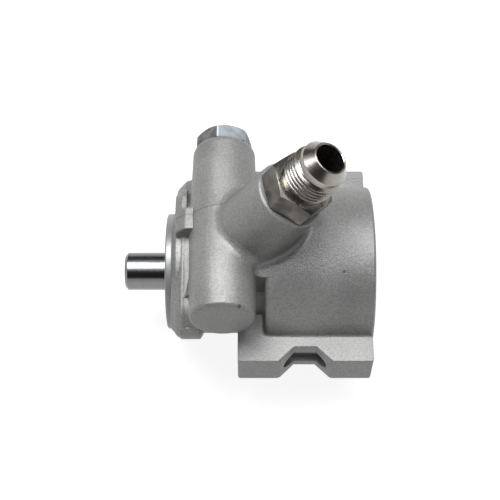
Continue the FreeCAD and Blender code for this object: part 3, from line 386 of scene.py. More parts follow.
@dataclass(frozen=True)
class CastFinish(Finish):
    """Blasted aluminium casting, with its machined faces, its parting line and two small pits; the parting
    line and the pits are darkened with painted shade.

    A pit is given by its centre and radius. A turned zone is given by its X from, its X to and its
    reach from the shaft's axis: pilot, seal pocket, cavity and rear face. The depths of the marks
    are shares of the relief.
    """

    tones: Pair = (0.34, 0.66)
    gloss_spread: Pair = (-0.05, 0.07)
    grain_share: float = 0.65
    pebble_grains: float = 2.6
    cloud_size: float = 22.0
    cloud_share: float = 0.35
    machined: Triple = (0.27, 0.27, 0.272)
    machined_roughness: float = 0.40
    circle_size: float = 0.25
    circle_depth: float = 0.08
    mark_cover: float = 0.6
    pits: tuple = ((44.9, -19.0, 33.0, 0.7), (0.9, -39.6, 41.0, 0.9))
    # The pits are real marks; their near-black colour is painted shade in the hollows
    pit_painted_shade: Triple = (0.03, 0.03, 0.03)
    pit_depth: float = 1.5
    parting_y: float = 7.0
    parting_half_width: float = 0.20
    # Painted shade: the dark colour of the parting line
    parting_painted_shade: Triple = (0.07, 0.07, 0.07)
    parting_depth: float = 0.8
    barrel_rear: float = 8.4
    barrel_underside: float = 26.0
    barrel_open_end: float = 44.97
    turned_zones: tuple[Triple, ...] = (
        (-60.0, -28.75, 26.1), (-60.0, 17.0, 15.0), (14.0, 60.0, 32.3), (58.18, 60.0, 60.0),
    )
    ear_inner_side: float = 38.2
    ear_top: float = 9.0
    ear_face_slack: float = 0.02
    ear_hole_side: float = 43.0
    ear_hole_reach: float = 4.4

    def paint(self, sheet: ShaderSheet) -> None:
        """Lays the casting's colour, gloss and relief on a sheet.

        Args:
            sheet: Holds the material's nodes.
        """
        place = sheet.place()
        grain = sheet.noise(place, self.grain_size, detail=3.0)
        pebble = sheet.noise(place, self.pebble_grains * self.grain_size)
        cloud = sheet.noise(place, self.cloud_size, detail=3.0)
        speckle = sheet.weighed(grain, pebble, self.grain_share)
        drift = sheet.math("MULTIPLY", sheet.math("SUBTRACT", cloud, 0.5), self.cloud_share)
        skin = self.mottled(sheet, sheet.math("ADD", speckle, drift))
        cut = self.machined_mask(sheet, place)
        centres = [sheet.distance(place, Vector(pit[:3]) * MM) for pit in self.pits]
        pit = sheet.either(*(sheet.below(off, pit[3]) for off, pit in zip(centres, self.pits)))
        # Painted shade: the pits are darkened to near black
        skin = sheet.mix(sheet.math("MULTIPLY", pit, self.mark_cover), skin, self.pit_painted_shade)
        x, y, z = sheet.coordinates(place)
        # Painted shade: a dark line along the parting line on the barrel, with a shallow groove in the
        # relief
        off = sheet.math("ABSOLUTE", sheet.math("SUBTRACT", y, self.parting_y * MM))
        on_barrel = sheet.both(sheet.below(x, self.barrel_rear), sheet.above(z, self.barrel_underside))
        line = sheet.both(sheet.below(off, self.parting_half_width), on_barrel)
        skin = sheet.mix(sheet.math("MULTIPLY", line, self.mark_cover), skin, self.parting_painted_shade)
        sheet.colour(sheet.mix(cut, skin, self.machined))
        low, high = self.gloss_spread
        skin_gloss = sheet.spread(cloud, self.roughness + low, self.roughness + high)
        difference = sheet.math("SUBTRACT", self.machined_roughness, skin_gloss)
        sheet.gloss(sheet.math("MULTIPLY_ADD", cut, difference, skin_gloss))
        circles = sheet.noise(sheet.circles(place), self.circle_size)
        rough = sheet.math("MULTIPLY", speckle, sheet.math("SUBTRACT", 1.0, cut))
        fine = sheet.math("MULTIPLY", circles, sheet.math("MULTIPLY", cut, self.circle_depth))
        height = sheet.math("ADD", rough, fine)
        height = sheet.math("SUBTRACT", height, sheet.math("MULTIPLY", pit, self.pit_depth))
        height = sheet.math("SUBTRACT", height, sheet.math("MULTIPLY", line, self.parting_depth))
        sheet.relief(height, self.relief, self.edge_rounding)

    def machined_mask(self, sheet: ShaderSheet, place: Socket) -> Socket:
        """Marks what is cut after casting: the pilot, the ear ends, the bores and the port faces.

        Args:
            sheet: Holds the material's nodes.
            place: The point on the surface.

        Returns:
            1 on a machined face and 0 elsewhere.
        """
        x, y, z = sheet.coordinates(place)
        side = sheet.math("ABSOLUTE", y)
        from_shaft = sheet.radius(place, ORIGIN, ALONG_X)
        turned = [sheet.both(sheet.between(x, front, rear), sheet.below(from_shaft, reach))
                  for front, rear, reach in self.turned_zones]
        at_face = sheet.below(sheet.math("ABSOLUTE", x), self.ear_face_slack)
        ear_face = sheet.both(at_face, sheet.above(side, self.ear_inner_side), sheet.below(z, self.ear_top))
        across = sheet.math("SUBTRACT", side, self.ear_hole_side * MM)
        squared = sheet.math("MULTIPLY_ADD", z, z, sheet.math("MULTIPLY", across, across))
        hole = sheet.below(sheet.math("SQRT", squared), self.ear_hole_reach)
        return sheet.either(*turned, ear_face, hole, sheet.above(y, self.barrel_open_end))


@dataclass(frozen=True)
class PlatedFinish(Finish):
    """Bright plating whose hexagon, cut from drawn bar, is duller and stained."""

    tones: Pair = (0.35, 0.65)
    gloss_range: Pair = (0.85, 1.15)
    stain_size: float = 5.0
    hexagon: Triple = (0.115, 0.107, 0.096)
    hexagon_tones: Pair = (0.38, 0.66)
    hexagon_shades: Pair = (0.7, 1.45)
    hexagon_roughness: float = 0.34
    hexagon_start: float = -0.5
    hexagon_end: float = 9.95
    thread_reach: float = 11.35
    thread_relief: float = 0.25

    def paint(self, sheet: ShaderSheet) -> None:
        """Lays the plating's colour, gloss and relief on a sheet.

        Args:
            sheet: Holds the material's nodes.
        """
        place = sheet.place()
        fine = sheet.noise(place, self.grain_size, detail=3.0)
        stain = sheet.noise(place, self.stain_size, detail=4.0)
        dull = sheet.ramp(stain, self.hexagon_tones, shades(self.hexagon, *self.hexagon_shades))
        along = sheet.vector("DOT_PRODUCT", place, tuple(INLET.direction)).outputs["Value"]
        face = INLET.face.dot(INLET.direction) / MM
        on_length = sheet.between(along, face + self.hexagon_start, face + self.hexagon_end)
        outside = sheet.above(sheet.radius(place, INLET.face, INLET.direction), self.thread_reach)
        flats = sheet.both(on_length, outside)
        sheet.colour(sheet.mix(flats, self.mottled(sheet, stain), dull))
        gloss = self.wandering_gloss(sheet, stain)
        difference = sheet.math("SUBTRACT", self.hexagon_roughness, gloss)
        sheet.gloss(sheet.math("MULTIPLY_ADD", flats, difference, gloss))
        height = sheet.math("MULTIPLY", fine, sheet.spread(flats, self.thread_relief, 1.0))
        sheet.relief(height, self.relief, self.edge_rounding)


@dataclass(frozen=True)
class PaintedLightHexagonFinish(Finish):
    """Zinc plating on a hexagon with painted shade on its outer flats and a painted highlight on its left
    corner.
    """

    tones: Pair = (0.36, 0.64)
    gloss_range: Pair = (0.85, 1.2)
    cloud_size: float = 4.0
    # Painted shade: this dark colour is laid on the flats left and right of the X limits, in millimetres
    dull: Triple = (0.115, 0.115, 0.108)
    painted_shade_tones: Pair = (0.40, 0.62)
    painted_shade_shares: Pair = (0.6, 1.5)
    # Painted highlight: a bright strip along the left corner, between two X limits in millimetres
    painted_highlight: Triple = (0.62, 0.68, 0.72)
    painted_shade_to_highlight: float = -9.4
    painted_highlight_to: float = -8.7
    painted_shade_right_from: float = 3.4
    flat_facing: float = 0.5

    def paint(self, sheet: ShaderSheet) -> None:
        """Lays the plating's colour, gloss and relief on a sheet.

        Args:
            sheet: Holds the material's nodes.
        """
        place = sheet.place()
        fine = sheet.noise(place, self.grain_size, detail=3.0)
        cloud = sheet.noise(place, self.cloud_size, detail=4.0)
        # Painted shade: the outer flats on the left and right are darker
        painted_shade_colour = sheet.ramp(cloud, self.painted_shade_tones, shades(self.dull, *self.painted_shade_shares))
        x = sheet.coordinates(place)[0]
        facing = sheet.coordinates(sheet.node("ShaderNodeNewGeometry").outputs["True Normal"])[1]
        on_flats = sheet.math("LESS_THAN", sheet.math("ABSOLUTE", facing), self.flat_facing)
        outside = sheet.either(sheet.below(x, self.painted_shade_to_highlight), sheet.above(x, self.painted_shade_right_from))
        painted_shade_mask = sheet.both(outside, on_flats)
        # Painted highlight: a bright strip on the flats at the left corner
        corner = sheet.both(sheet.between(x, self.painted_shade_to_highlight, self.painted_highlight_to), on_flats)
        skin = sheet.mix(painted_shade_mask, self.mottled(sheet, cloud), painted_shade_colour)
        sheet.colour(sheet.mix(corner, skin, self.painted_highlight))
        sheet.gloss(self.wandering_gloss(sheet, cloud))
        sheet.relief(fine, self.relief, self.edge_rounding)


@dataclass(frozen=True)
class InletAxis:
    """Place and direction of the slanted inlet port, in millimetres and degrees."""

    face_x: float = 21.9
    face_z: float = 63.2
    lean: float = 30.0

    @property
    def face(self) -> Vector:
        """Centre of the boss's end face, in metres."""
        return Vector((self.face_x, 0.0, self.face_z)) * MM

    @property
    def direction(self) -> Vector:
        """Direction out of the port."""
        angle = math.radians(self.lean)
        return Vector((math.sin(angle), 0.0, math.cos(angle)))


INLET = InletAxis()

CAST_ALUMINIUM = CastFinish(
    "cast_aluminium", (0.250, 0.245, 0.239), 0.46, 0.44, Grain.EVEN, 0.42, 0.22, 0.30, 0.6
)
GROUND_STEEL = Finish(
    "ground_steel", (0.21, 0.21, 0.215), 1.0, 0.22, Grain.GROUND, 0.12, 0.0005, 0.05, 0.25, 0.5
)
NICKEL_PLATE = PlatedFinish(
    "nickel_plate", (0.34, 0.32, 0.29), 1.0, 0.27, Grain.EVEN, 0.5, 0.012, 0.06, 0.2
)
ZINC_PLATE = PaintedLightHexagonFinish(
    "zinc_plate", (0.27, 0.30, 0.315), 0.30, 0.40, Grain.EVEN, 0.5, 0.012, 0.20, 0.25
)
HARDENED_STEEL = Finish(
    "hardened_steel", (0.42, 0.42, 0.43), 1.0, 0.26, Grain.TURNED, 0.2, 0.002, 0.08, 0.15
)
SPRING_STEEL = Finish("spring_steel", (0.26, 0.26, 0.28), 1.0, 0.32, Grain.EVEN, 0.4, 0.004, 0.12)
SINTERED_STEEL = Finish(
    "sintered_steel", (0.30, 0.30, 0.31), 0.9, 0.48, Grain.EVEN, 0.25, 0.02, 0.16, 0.2
)
PRESSED_STEEL = Finish(
    "pressed_steel", (0.10, 0.10, 0.105), 0.7, 0.42, Grain.EVEN, 0.6, 0.008, 0.16, 0.3
)
BRONZE = Finish("bearing_bronze", (0.60, 0.42, 0.20), 1.0, 0.34, Grain.TURNED, 0.2, 0.004, 0.10, 0.15)
BLACK_RUBBER = Finish("black_rubber", (0.022, 0.022, 0.024), 0.0, 0.46, Grain.EVEN, 0.3, 0.01, 0.15)

# Each finish bears the name of the material slot that it dresses
SLOT_FINISH: dict[str, Finish] = {finish.name: finish for finish in (
    CAST_ALUMINIUM, GROUND_STEEL, NICKEL_PLATE, ZINC_PLATE, HARDENED_STEEL, SPRING_STEEL,
    SINTERED_STEEL, PRESSED_STEEL, BRONZE, BLACK_RUBBER,
)}


@dataclass
class Wardrobe:
    """Makes each finish's material once and puts it on pieces."""

    made: dict[str, bpy.types.Material] = field(default_factory=dict)

    def dress(self, piece: bpy.types.Object, finish: Finish) -> None:
        """Puts a finish on a piece.

        Args:
            piece: The object to dress.
            finish: The finish that it gets.
        """
        if finish.name not in self.made:
            self.made[finish.name] = finish.material()
        material = self.made[finish.name]
        if not piece.material_slots:
            piece.data.materials.append(material)
        for holder in piece.material_slots:
            holder.material = material


@dataclass(frozen=True)
class Thread:
    """A screw thread: its pitch, depth and crest radius in millimetres.

    The shares are parts of half a pitch: the flat crest, and the flank down to the root.
    """

    pitch: float
    depth: float
    crest: float
    crest_share: float = 0.14
    flank_share: float = 0.66

    def radius(self, along: float, angle: float) -> float:
        """Returns the thread's radius at a distance along its axis and an angle about it."""
        rise = abs(2 * ((along / self.pitch - angle / TURN) % 1.0) - 1)
        return self.crest - self.depth * min(1.0, max(0.0, (rise - self.crest_share) / self.flank_share))


@dataclass(frozen=True)
class Ring:
    """One ring of a turned surface, in millimetres."""

    along: float
    radius: float
    thread: Thread | None = None
    flats: float = 0.0
    flats_turn: float = 0.0

    def at(self, angle: float) -> float:
        """Radius of the ring at an angle about its axis.

        Args:
            angle: The angle in radians.

        Returns:
            The radius in millimetres.
        """
        if self.flats:
            sixth = TURN / 6
            off = (angle - math.radians(self.flats_turn)) % sixth - sixth / 2
            return min(self.radius, self.flats / 2 / math.cos(off))
        if self.thread:
            return min(self.radius, self.thread.radius(self.along, angle))
        return self.radius


def band_faces(rows: int, columns: int, closed: bool = False) -> list[tuple[int, ...]]:
    """Faces between rings of equally many points.

    Args:
        rows: How many rings there are.
        columns: How many points each ring has.
        closed: Whether the last ring joins the first.

    Returns:
        The faces, as tuples of point numbers.
    """
    faces = []
    for row in range(rows if closed else rows - 1):
        near = row * columns
        far = (row + 1) % rows * columns
        for column in range(columns):
            after = (column + 1) % columns
            faces.append((near + column, near + after, far + after, far + column))
    return faces


def stretch(start: Pair, end: Pair, step: float, thread: Thread) -> list[Ring]:
    """Rings along a threaded stretch.

    Args:
        start: Distance and radius where it begins.
        end: Distance and radius where it ends.
        step: Greatest distance between rings, in millimetres.
        thread: The thread on it.

    Returns:
        The rings, with both ends.
    """
    count = max(1, math.ceil(abs(end[0] - start[0]) / step))
    rings = []
    for index in range(count + 1):
        share = index / count
        along = start[0] + (end[0] - start[0]) * share
        rings.append(Ring(along, start[1] + (end[1] - start[1]) * share, thread))
    return rings


def mesh_piece(name: str, points: list, faces: list, smooth_angle: float = 32.0) -> bpy.types.Object:
    """Smooth-shaded object from points and faces, with its normals turned outwards.

    Args:
        name: The piece's name.
        points: Points in metres.
        faces: Tuples of point numbers.
        smooth_angle: Edges sharper than this, in degrees, stay sharp.

    Returns:
        The new object, linked to the scene.
    """
    mesh = bpy.data.meshes.new(name)
    mesh.from_pydata(points, [], faces)
    mesh.update()
    piece = bpy.data.objects.new(name, mesh)
    bpy.context.scene.collection.objects.link(piece)
    volume = sum(face.center.dot(face.normal) * face.area for face in mesh.polygons)
    if volume < 0:
        mesh.flip_normals()
    mesh.polygons.foreach_set("use_smooth", [True] * len(mesh.polygons))
    mesh.set_sharp_from_angle(angle=math.radians(smooth_angle))
    return piece


def ring_solid(rings: list[list[Vector]], closed: bool) -> Solid:
    """Solid through rings of equally many points.

    Args:
        rings: The rings in order.
        closed: Whether the last ring joins the first. Otherwise both ends are capped.

    Returns:
        The closed solid.
    """
    solid = bmesh.new()
    rows = [[solid.verts.new(point) for point in ring] for ring in rings]
    for near, far in zip(rows, rows[1:] + (rows[:1] if closed else [])):
        for index in range(len(near)):
            after = (index + 1) % len(near)
            solid.faces.new((near[index], near[after], far[after], far[index]))
    if not closed:
        solid.faces.new(rows[0])
        solid.faces.new(rows[-1])
    bmesh.ops.recalc_face_normals(solid, faces=solid.faces)
    return solid


def keep_side(solid: Solid, point: Vector, inward: Vector) -> None:
    """Cuts a closed solid by a plane and closes the cut.

    Args:
        solid: The solid to cut.
        point: A point on the plane.
        inward: The direction of what is kept.
    """
    every = solid.verts[:] + solid.edges[:] + solid.faces[:]
    cut = bmesh.ops.bisect_plane(solid, geom=every, plane_co=point, plane_no=inward, clear_inner=True)
    rim = [item for item in cut["geom_cut"] if isinstance(item, bmesh.types.BMEdge)]
    bmesh.ops.holes_fill(solid, edges=rim, sides=0)
    bmesh.ops.recalc_face_normals(solid, faces=solid.faces)


def cast_union(name: str, solids: list[Solid], voxel: float, smoothing: int) -> bpy.types.Object:
    """Joins overlapping solids into one skin, with the soft edges of a casting.

    Args:
        name: The piece's name.
        solids: The closed solids, in millimetres.
        voxel: How fine the skin is, in millimetres.
        smoothing: How many times its edges are eased.

    Returns:
        The new object, linked to the scene, in metres.
    """
    joined = bmesh.new()
    for solid in solids:
        part = bpy.data.meshes.new(name)
        solid.to_mesh(part)
        joined.from_mesh(part)
        solid.free()
    bmesh.ops.scale(joined, vec=(MM, MM, MM), verts=joined.verts)
    rough = bpy.data.meshes.new(name)
    joined.to_mesh(rough)
    joined.free()
    holder = bpy.data.objects.new(name, rough)
    bpy.context.scene.collection.objects.link(holder)
    remesh = holder.modifiers.new("skin", "REMESH")
    remesh.mode = "VOXEL"
    remesh.voxel_size = voxel * MM
    soften = holder.modifiers.new("soften", "SMOOTH")
    soften.factor = 0.5
    soften.iterations = smoothing
    skin = bpy.data.meshes.new_from_object(holder.evaluated_get(bpy.context.evaluated_depsgraph_get()))
    holder.modifiers.clear()
    holder.data = skin
    skin.polygons.foreach_set("use_smooth", [True] * len(skin.polygons))
    return holder


@dataclass
class InletFitting:
    """Flared adapter in the slanted boss, with true threads.

    Sizes are in millimetres, from the hexagon's front, and agree with the solid's. The tip's
    profile is counted from its end and its radius, and a step is the greatest distance between
    a thread's rings.
    """

    hex_flats: float = 25.4
    hex_thickness: float = 10.0
    hex_chamfer: float = 0.9
    hex_turn: float = 14.0
    hex_face_inset: float = 0.15
    hex_corner_margin: float = 0.26
    hex_steps: int = 8
    length: float = 19.3
    bore: float = 6.3
    bore_chamfer: float = 0.3
    tip: float = 7.0
    tip_profile: tuple = ((-0.35, 0.2625), (-0.1225, 0.12), (0.0, -0.14))
    collar: float = 10.1
    relief: float = 9.6
    relief_length: float = 1.5
    runout: float = 1.0
    nose_length: float = 7.4
    neck_length: float = 1.2
    collar_step: float = 0.5
    chamfer: float = 1.2
    flare: float = 37.0
    stem_length: float = 12.5
    groove: float = 9.2
    groove_length: float = 3.0
    stem_runout: float = 0.8
    stem_slack: float = 0.02
    nose_step: float = 0.11
    nose_end_step: float = 0.15
    stem_step: float = 0.22
    stem_end_step: float = 0.25
    columns: int = 192
    thread: Thread = Thread(pitch=25.4 / 14, depth=1.08, crest=11.1)

    def nose_rings(self) -> list[Ring]:
        """Rings from the hexagon's front out to the flared tip.

        Returns:
            The rings in order.
        """
        neck_start = self.length - self.nose_length
        neck_end = neck_start + self.neck_length
        cone = (self.collar - self.tip) / math.tan(math.radians(self.flare))
        crest = self.thread.crest
        root, end_step = self.relief_length, self.nose_end_step
        full, ends = root + self.runout, neck_start - self.chamfer
        rings = [Ring(0.0, self.relief), Ring(root, self.relief)]
        rings += stretch((root, self.relief), (full, crest), end_step, self.thread)
        rings += stretch((full, crest), (ends, crest), self.nose_step, self.thread)
        rings += stretch((ends, crest), (neck_start, self.relief), end_step, self.thread)
        rings += [Ring(neck_end, self.relief), Ring(neck_end + self.collar_step, self.collar)]
        rings += [Ring(self.length - cone, self.collar)]
        rings += [Ring(self.length + along, self.tip + out) for along, out in self.tip_profile]
        rings += [Ring(self.length, self.bore + self.bore_chamfer)]
        rings += [Ring(self.length - self.bore_chamfer, self.bore)]
        return rings

    def stem_rings(self) -> list[Ring]:
        """Rings from the bore's inner end back along the threaded stem to the hexagon.

        Returns:
            The rings in order.
        """
        under = -self.hex_thickness
        end = under - self.stem_length
        crest = self.thread.crest - self.stem_slack
        full = end + self.chamfer
        rings = [Ring(end, self.bore), Ring(end, crest - self.chamfer)]
        rings += stretch((end, crest - self.chamfer), (full, crest), self.stem_end_step, self.thread)
        start = under - self.groove_length
        rings += stretch((full, crest), (start - self.stem_runout, crest), self.stem_step, self.thread)
        rings += [Ring(start, self.groove), Ring(under, self.groove)]
        return rings

    def hex_rings(self) -> list[Ring]:
        """Rings of the hexagon, turned down at both ends.

        Returns:
            The rings in order, from its rear face to its front.
        """
        face = self.hex_flats / 2 - self.hex_face_inset
        corner = self.hex_flats / math.sqrt(3) + self.hex_corner_margin
        turned = []
        for index in range(self.hex_steps + 1):
            share = index / self.hex_steps
            turned.append((self.hex_chamfer * share, face + (corner - face) * share))
        section = [(-self.hex_thickness + along, radius) for along, radius in turned]
        section += [(-along, radius) for along, radius in reversed(turned)]
        return [Ring(along, radius, None, self.hex_flats, self.hex_turn) for along, radius in section]

    def build(self, wardrobe: Wardrobe) -> None:
        """Builds the fitting in place of its plain solid.

        Args:
            wardrobe: Holds the materials.
        """
        axis = INLET.direction
        front = INLET.face + axis * (self.hex_thickness * MM)
        rings = self.stem_rings() + self.hex_rings() + self.nose_rings()
        points = []
        for ring in rings:
            for column in range(self.columns):
                angle = TURN * column / self.columns
                reach = ALONG_Y * math.cos(angle) + axis.cross(ALONG_Y) * math.sin(angle)
                points.append(front + (axis * ring.along + reach * ring.at(angle)) * MM)
        faces = band_faces(len(rings), self.columns, closed=True)
        piece = mesh_piece("inlet_fitting_threaded", points, faces)
        wardrobe.dress(piece, NICKEL_PLATE)
        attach(piece, "housing")
        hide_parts("inlet_fitting")
        log.info("inlet fitting: %d faces", len(piece.data.polygons))


@dataclass
class FlangeForms:
    """Cast forms that join the front flange to the valve barrel, fitted over the housing's solid.

    The lower half of the flange has a bevel up to a crest and a slope that leans back to the barrel. The
    upper half has the raised pad. Sizes are in millimetres. Circles are given by Y, Z and radius, and
    profiles by X and the inset from the flange's outline.
    """

    middle: Triple = (0.0, 0.0, 29.5)
    lower_lobe: Triple = (-26.0, 10.5, 12.1)
    upper_lobe: Triple = (28.3, 9.8, 11.8)
    lower_front: float = -28.7
    bevel: float = 4.2
    upper_front: float = -26.0
    upper_rounding: float = 3.5
    rear: float = -16.0
    hollow: float = 20.0
    foot_start: float = -24.1
    foot_inset: float = 0.4
    foot_length: float = 12.0
    foot_slope: float = 2.0
    foot_floor: float = 9.8
    foot_top: float = 31.0
    wall_x: float = -16.8
    closed_end: float = -40.2
    pad_front: float = -26.9
    pad_width: float = 11.0
    pad_top: float = 37.2
    pad_slope_length: float = 4.3
    pad_slope_drop: float = 3.8
    pad_corner: float = 3.5
    outline_points: int = 240
    rounding_steps: int = 4
    voxel: float = 0.45
    smoothing: int = 5

    def outline(self, circles: tuple, x: float, inset: float, lift: float = 0.0) -> list[Vector]:
        """Points round the tight outline of some circles.

        Args:
            circles: The circles that it wraps.
            x: Where it stands along the shaft.
            inset: How far it is drawn in.
            lift: How far it is moved up.

        Returns:
            The points in order.
        """
        points = []
        for index in range(self.outline_points):
            angle = TURN * index / self.outline_points
            across, up = math.cos(angle), math.sin(angle)
            y, z, radius = max(circles, key=lambda c: c[0] * across + c[1] * up + c[2])
            points.append(Vector((x, y + across * (radius - inset), z + up * (radius - inset) + lift)))
        return points

    def plate(self, circles: tuple, profile: list[Pair], side: float) -> Solid:
        """Half of the flange plate.

        Args:
            circles: The circles that its outline wraps.
            profile: Pairs of X and inset, from the front to the rear.
            side: 1 for the upper half, -1 for the lower.

        Returns:
            The closed half.
        """
        rings = [self.outline(circles, x, inset) for x, inset in profile]
        # A round hollow keeps the plate clear of the shaft's pocket
        rings += [self.outline(((0.0, 0.0, self.hollow),), profile[end][0], 0.0) for end in (-1, 0)]
        solid = ring_solid(rings, closed=True)
        keep_side(solid, ORIGIN, ALONG_Y * side)
        return solid

    def foot(self) -> Solid:
        """Slope that carries the flange's outline back and up to the barrel.

        Returns:
            The closed slope.
        """
        circles = (self.middle, self.lower_lobe, self.upper_lobe)
        near = self.outline(circles, self.foot_start, self.foot_inset)
        rise = self.foot_length * self.foot_slope
        far = self.outline(circles, self.foot_start + self.foot_length, self.foot_inset, rise)
        solid = ring_solid([near, far], closed=False)
        keep_side(solid, Vector((0, 0, self.foot_floor)), ALONG_Z)
        keep_side(solid, Vector((0, 0, self.foot_top)), -ALONG_Z)
        keep_side(solid, Vector((self.wall_x, 0, 0)), -ALONG_X)
        keep_side(solid, Vector((0, self.closed_end, 0)), ALONG_Y)
        return solid

    def rounding_angles(self) -> list[float]:
        """Returns the angles at which a quarter round is divided, in radians."""
        return [TURN / 4 * step / self.rounding_steps for step in range(self.rounding_steps + 1)]

    def pad(self) -> Solid:
        """Raised pad on the upper half, sloped to the front and rounded at its far corner.

        Returns:
            The closed pad.
        """
        slope_x = self.pad_front + self.pad_slope_length
        low = self.upper_lobe[1]
        outline = [(self.pad_front, low), (self.pad_front, self.pad_top - self.pad_slope_drop)]
        outline += [(slope_x, self.pad_top), (self.wall_x, self.pad_top), (self.wall_x, low)]
        rings = [[Vector((x, y, z)) for x, z in outline] for y in (0.0, self.pad_width)]
        solid = ring_solid(rings, closed=False)
        corner = Vector((self.pad_front, self.pad_width, 0.0))
        middle = corner + Vector((self.pad_corner, -self.pad_corner, 0.0))
        for angle in self.rounding_angles()[1:-1]:
            out = Vector((-math.cos(angle), math.sin(angle), 0.0))
            keep_side(solid, middle + out * self.pad_corner, -out)
        return solid

    def build(self, wardrobe: Wardrobe) -> None:
        """Builds the forms as one skin with softened edges.

        Args:
            wardrobe: Holds the materials.
        """
        lower = [(self.lower_front, self.bevel), (self.lower_front + self.bevel, 0.0), (self.rear, 0.0)]
        upper = []
        for angle in self.rounding_angles():
            back = self.upper_rounding * (1 - math.cos(angle))
            upper.append((self.upper_front + back, self.upper_rounding * (1 - math.sin(angle))))
        upper.append((self.rear, 0.0))
        solids = [self.plate((self.middle, self.lower_lobe), lower, -1.0)]
        solids += [self.plate((self.middle, self.upper_lobe), upper, 1.0), self.foot(), self.pad()]
        piece = cast_union("flange_forms", solids, self.voxel, self.smoothing)
        wardrobe.dress(piece, CAST_ALUMINIUM)
        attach(piece, "housing")
        log.info("flange forms: %d faces", len(piece.data.polygons))


@dataclass
class CoilSpring:
    """Round-wire compression spring with closed end turns.

    It stands along the valve barrel, and its sizes are in millimetres.
    """

    name: str
    node: str
    body: str
    joint: str
    low_end: float
    high_end: float
    fixed_end: float
    travel: float
    radius: float
    wire_radius: float
    turns: float
    barrel_axis: Triple = (-6.3, 0.0, 30.0)
    closed_turns: float = 0.8
    closed_pitch_share: float = 1.05
    steps: int = 32
    wire_sides: int = 12

    def height(self, turn: float) -> float:
        """Height of the wire's centre line.

        Args:
            turn: Turns from the low end.

        Returns:
            The height along the barrel.
        """
        low, high = self.low_end + self.wire_radius, self.high_end - self.wire_radius
        pitch = 2 * self.wire_radius * self.closed_pitch_share
        closed = self.closed_turns
        if turn <= closed:
            return low + pitch * turn
        if turn >= self.turns - closed:
            return high - pitch * (self.turns - turn)
        share = (turn - closed) / (self.turns - 2 * closed)
        return low + pitch * closed + share * (high - low - 2 * pitch * closed)

    def build(self, wardrobe: Wardrobe) -> None:
        """Builds the coil and puts it in its node's place.

        Args:
            wardrobe: Holds the materials.
        """
        count = round(self.turns * self.steps)
        points = []
        for step in range(count + 1):
            angle = TURN * step / self.steps
            outward = Vector((math.cos(angle), 0.0, math.sin(angle)))
            middle = Vector(self.barrel_axis) + outward * self.radius
            middle += ALONG_Y * self.height(step / self.steps)
            for side in range(self.wire_sides):
                around = TURN * side / self.wire_sides
                offset = outward * math.cos(around) + ALONG_Y * math.sin(around)
                points.append((middle + offset * self.wire_radius) * MM)
        first_end = tuple(reversed(range(self.wire_sides)))
        last_end = tuple(range(len(points) - self.wire_sides, len(points)))
        faces = band_faces(count + 1, self.wire_sides) + [first_end, last_end]
        piece = mesh_piece(self.name, points, faces, smooth_angle=45.0)
        wardrobe.dress(piece, SPRING_STEEL)
        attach(piece, self.body)
        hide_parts(self.node)
        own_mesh(piece)
        log.info("%s: %d faces", self.name, len(piece.data.polygons))


VALVE_SPRING = CoilSpring(
    "flow_valve_spring_coil", "flow_valve_spring", "housing", "spool_slide",
    low_end=-33.79, high_end=-2.08, fixed_end=-33.79, travel=8.0, radius=6.3, wire_radius=0.8, turns=6.4,
)
RELIEF_SPRING = CoilSpring(
    "relief_spring_coil", "relief_spring", "spool", "relief_lift",
    low_end=10.98, high_end=18.94, fixed_end=18.94, travel=1.22, radius=2.9, wire_radius=0.45, turns=4.4,
)


@dataclass
class CadNodes:
    """The solids that show as they are, each with the finish of its material slot."""

    skipped: tuple[str, ...] = ("inlet_fitting", "flow_valve_spring", "relief_spring")

    def dress(self, wardrobe: Wardrobe) -> None:
        """Dresses every solid that shows.

        Args:
            wardrobe: Holds the materials.
        """
        slots = {entry["node"]: entry["material_slot"] for entry in frame["record"]["subparts"]}
        for name, node in frame["nodes"].items():
            if name in self.skipped:
                continue
            wardrobe.dress(node, SLOT_FINISH[slots[name]])
        log.info("dressed %d solids", len(frame["nodes"]) - len(self.skipped))


@dataclass(frozen=True)
class Softbox:
    """A soft rectangular light: its centre and sides in millimetres, and its power in watts."""

    name: str
    place: Triple
    width: float
    height: float
    watts: float


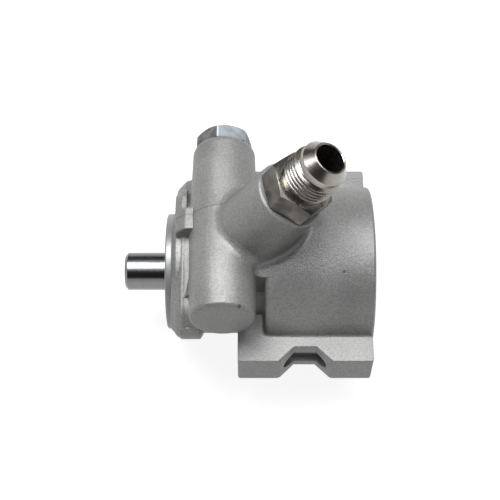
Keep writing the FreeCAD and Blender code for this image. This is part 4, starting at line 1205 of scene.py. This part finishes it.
@dataclass
class Studio:
    """Camera, pale floor and soft lights, in millimetres and degrees."""

    camera_place: Triple = (5.3, -253.1, 445.2)
    camera_tilt: float = 30.7
    focal_length: float = 81.1
    sensor_width: float = 36.0
    nearest_seen: float = 10.0
    floor_height: float = -38.2
    floor_radius: float = 2700.0
    floor_columns: int = 72
    cove_radius: float = 300.0
    cove_steps: int = 6
    backdrop_height: float = 800.0
    world_grey: float = 0.04
    floor_colour: float = 0.20
    floor_roughness: float = 0.9
    floor_glow: float = 0.90
    lamp_colour: Triple = (0.965, 0.985, 1.0)
    softboxes: tuple[Softbox, ...] = (
        Softbox("left_softbox", (-200.0, 100.0, 740.0), 400.0, 360.0, 6.0),
        Softbox("right_softbox", (260.0, 120.0, 760.0), 500.0, 500.0, 4.0),
        Softbox("ceiling_panel", (100.0, 100.0, 1300.0), 1700.0, 1500.0, 3.2),
    )

    def build(self) -> None:
        """Builds the camera, the floor, the world and the lights."""
        bpy.context.scene.view_settings.view_transform = "Standard"
        self.camera()
        self.floor()
        self.world()
        for softbox in self.softboxes:
            self.hang(softbox)
        log.info("studio ready")

    def camera(self) -> None:
        """Sets the camera at the photograph's viewing angle."""
        data = bpy.data.cameras.new("camera")
        data.sensor_width = self.sensor_width
        data.lens = self.focal_length
        data.clip_start = self.nearest_seen * MM
        holder = bpy.data.objects.new("camera", data)
        holder.location = Vector(self.camera_place) * MM
        holder.rotation_euler = (math.radians(self.camera_tilt), 0.0, 0.0)
        bpy.context.scene.collection.objects.link(holder)
        bpy.context.scene.camera = holder

    def floor(self) -> None:
        """Lays a plain pale floor under the pump, turned up all round into a low backdrop."""
        rings = []
        for step in range(self.cove_steps + 1):
            angle = TURN / 4 * step / self.cove_steps
            out = self.floor_radius + self.cove_radius * math.sin(angle)
            rings.append((out, self.floor_height + self.cove_radius * (1 - math.cos(angle))))
        rings.append((rings[-1][0], self.floor_height + self.backdrop_height))
        points = []
        for radius, height in rings:
            for column in range(self.floor_columns):
                angle = TURN * column / self.floor_columns
                points.append(Vector((radius * math.cos(angle), radius * math.sin(angle), height)) * MM)
        faces = [tuple(range(self.floor_columns))] + band_faces(len(rings), self.floor_columns)
        piece = mesh_piece("floor", points, faces, smooth_angle=60.0)
        sheet = ShaderSheet("pale_floor")
        sheet.surface(0.0, self.floor_roughness)
        sheet.colour((*[self.floor_colour] * 3, 1.0))
        rays = sheet.node("ShaderNodeLightPath")
        kinds = ("Camera", "Transmission", "Glossy")
        seen = sheet.either(*(rays.outputs[f"Is {kind} Ray"] for kind in kinds))
        glow = sheet.math("MULTIPLY", seen, self.floor_glow)
        sheet.shader.inputs["Emission Color"].default_value = (1.0, 1.0, 1.0, 1.0)
        sheet.feed(sheet.shader.inputs["Emission Strength"], glow)
        piece.data.materials.append(sheet.material)

    def world(self) -> None:
        """Fills the surroundings with an even grey."""
        world = bpy.data.worlds.new("studio")
        world.use_nodes = True
        world.node_tree.nodes["Background"].inputs["Color"].default_value = (*[self.world_grey] * 3, 1.0)
        bpy.context.scene.world = world

    def hang(self, softbox: Softbox) -> None:
        """Hangs a soft rectangular light that faces the pump.

        Args:
            softbox: The light's place, size and power.
        """
        data = bpy.data.lights.new(softbox.name, "AREA")
        data.shape = "RECTANGLE"
        data.size = softbox.width * MM
        data.size_y = softbox.height * MM
        data.energy = softbox.watts
        data.color = self.lamp_colour
        holder = bpy.data.objects.new(softbox.name, data)
        holder.location = Vector(softbox.place) * MM
        holder.rotation_euler = (ORIGIN - holder.location).to_track_quat("-Z", "Y").to_euler()
        bpy.context.scene.collection.objects.link(holder)


def main() -> None:
    """Builds and dresses the pump in order."""
    logging.basicConfig(level=logging.INFO, format="%(name)s: %(message)s")
    wardrobe = Wardrobe()
    Studio().build()
    CadNodes().dress(wardrobe)
    FlangeForms().build(wardrobe)
    InletFitting().build(wardrobe)
    for spring in (VALVE_SPRING, RELIEF_SPRING):
        spring.build(wardrobe)


if __name__ == "__main__":
    main()
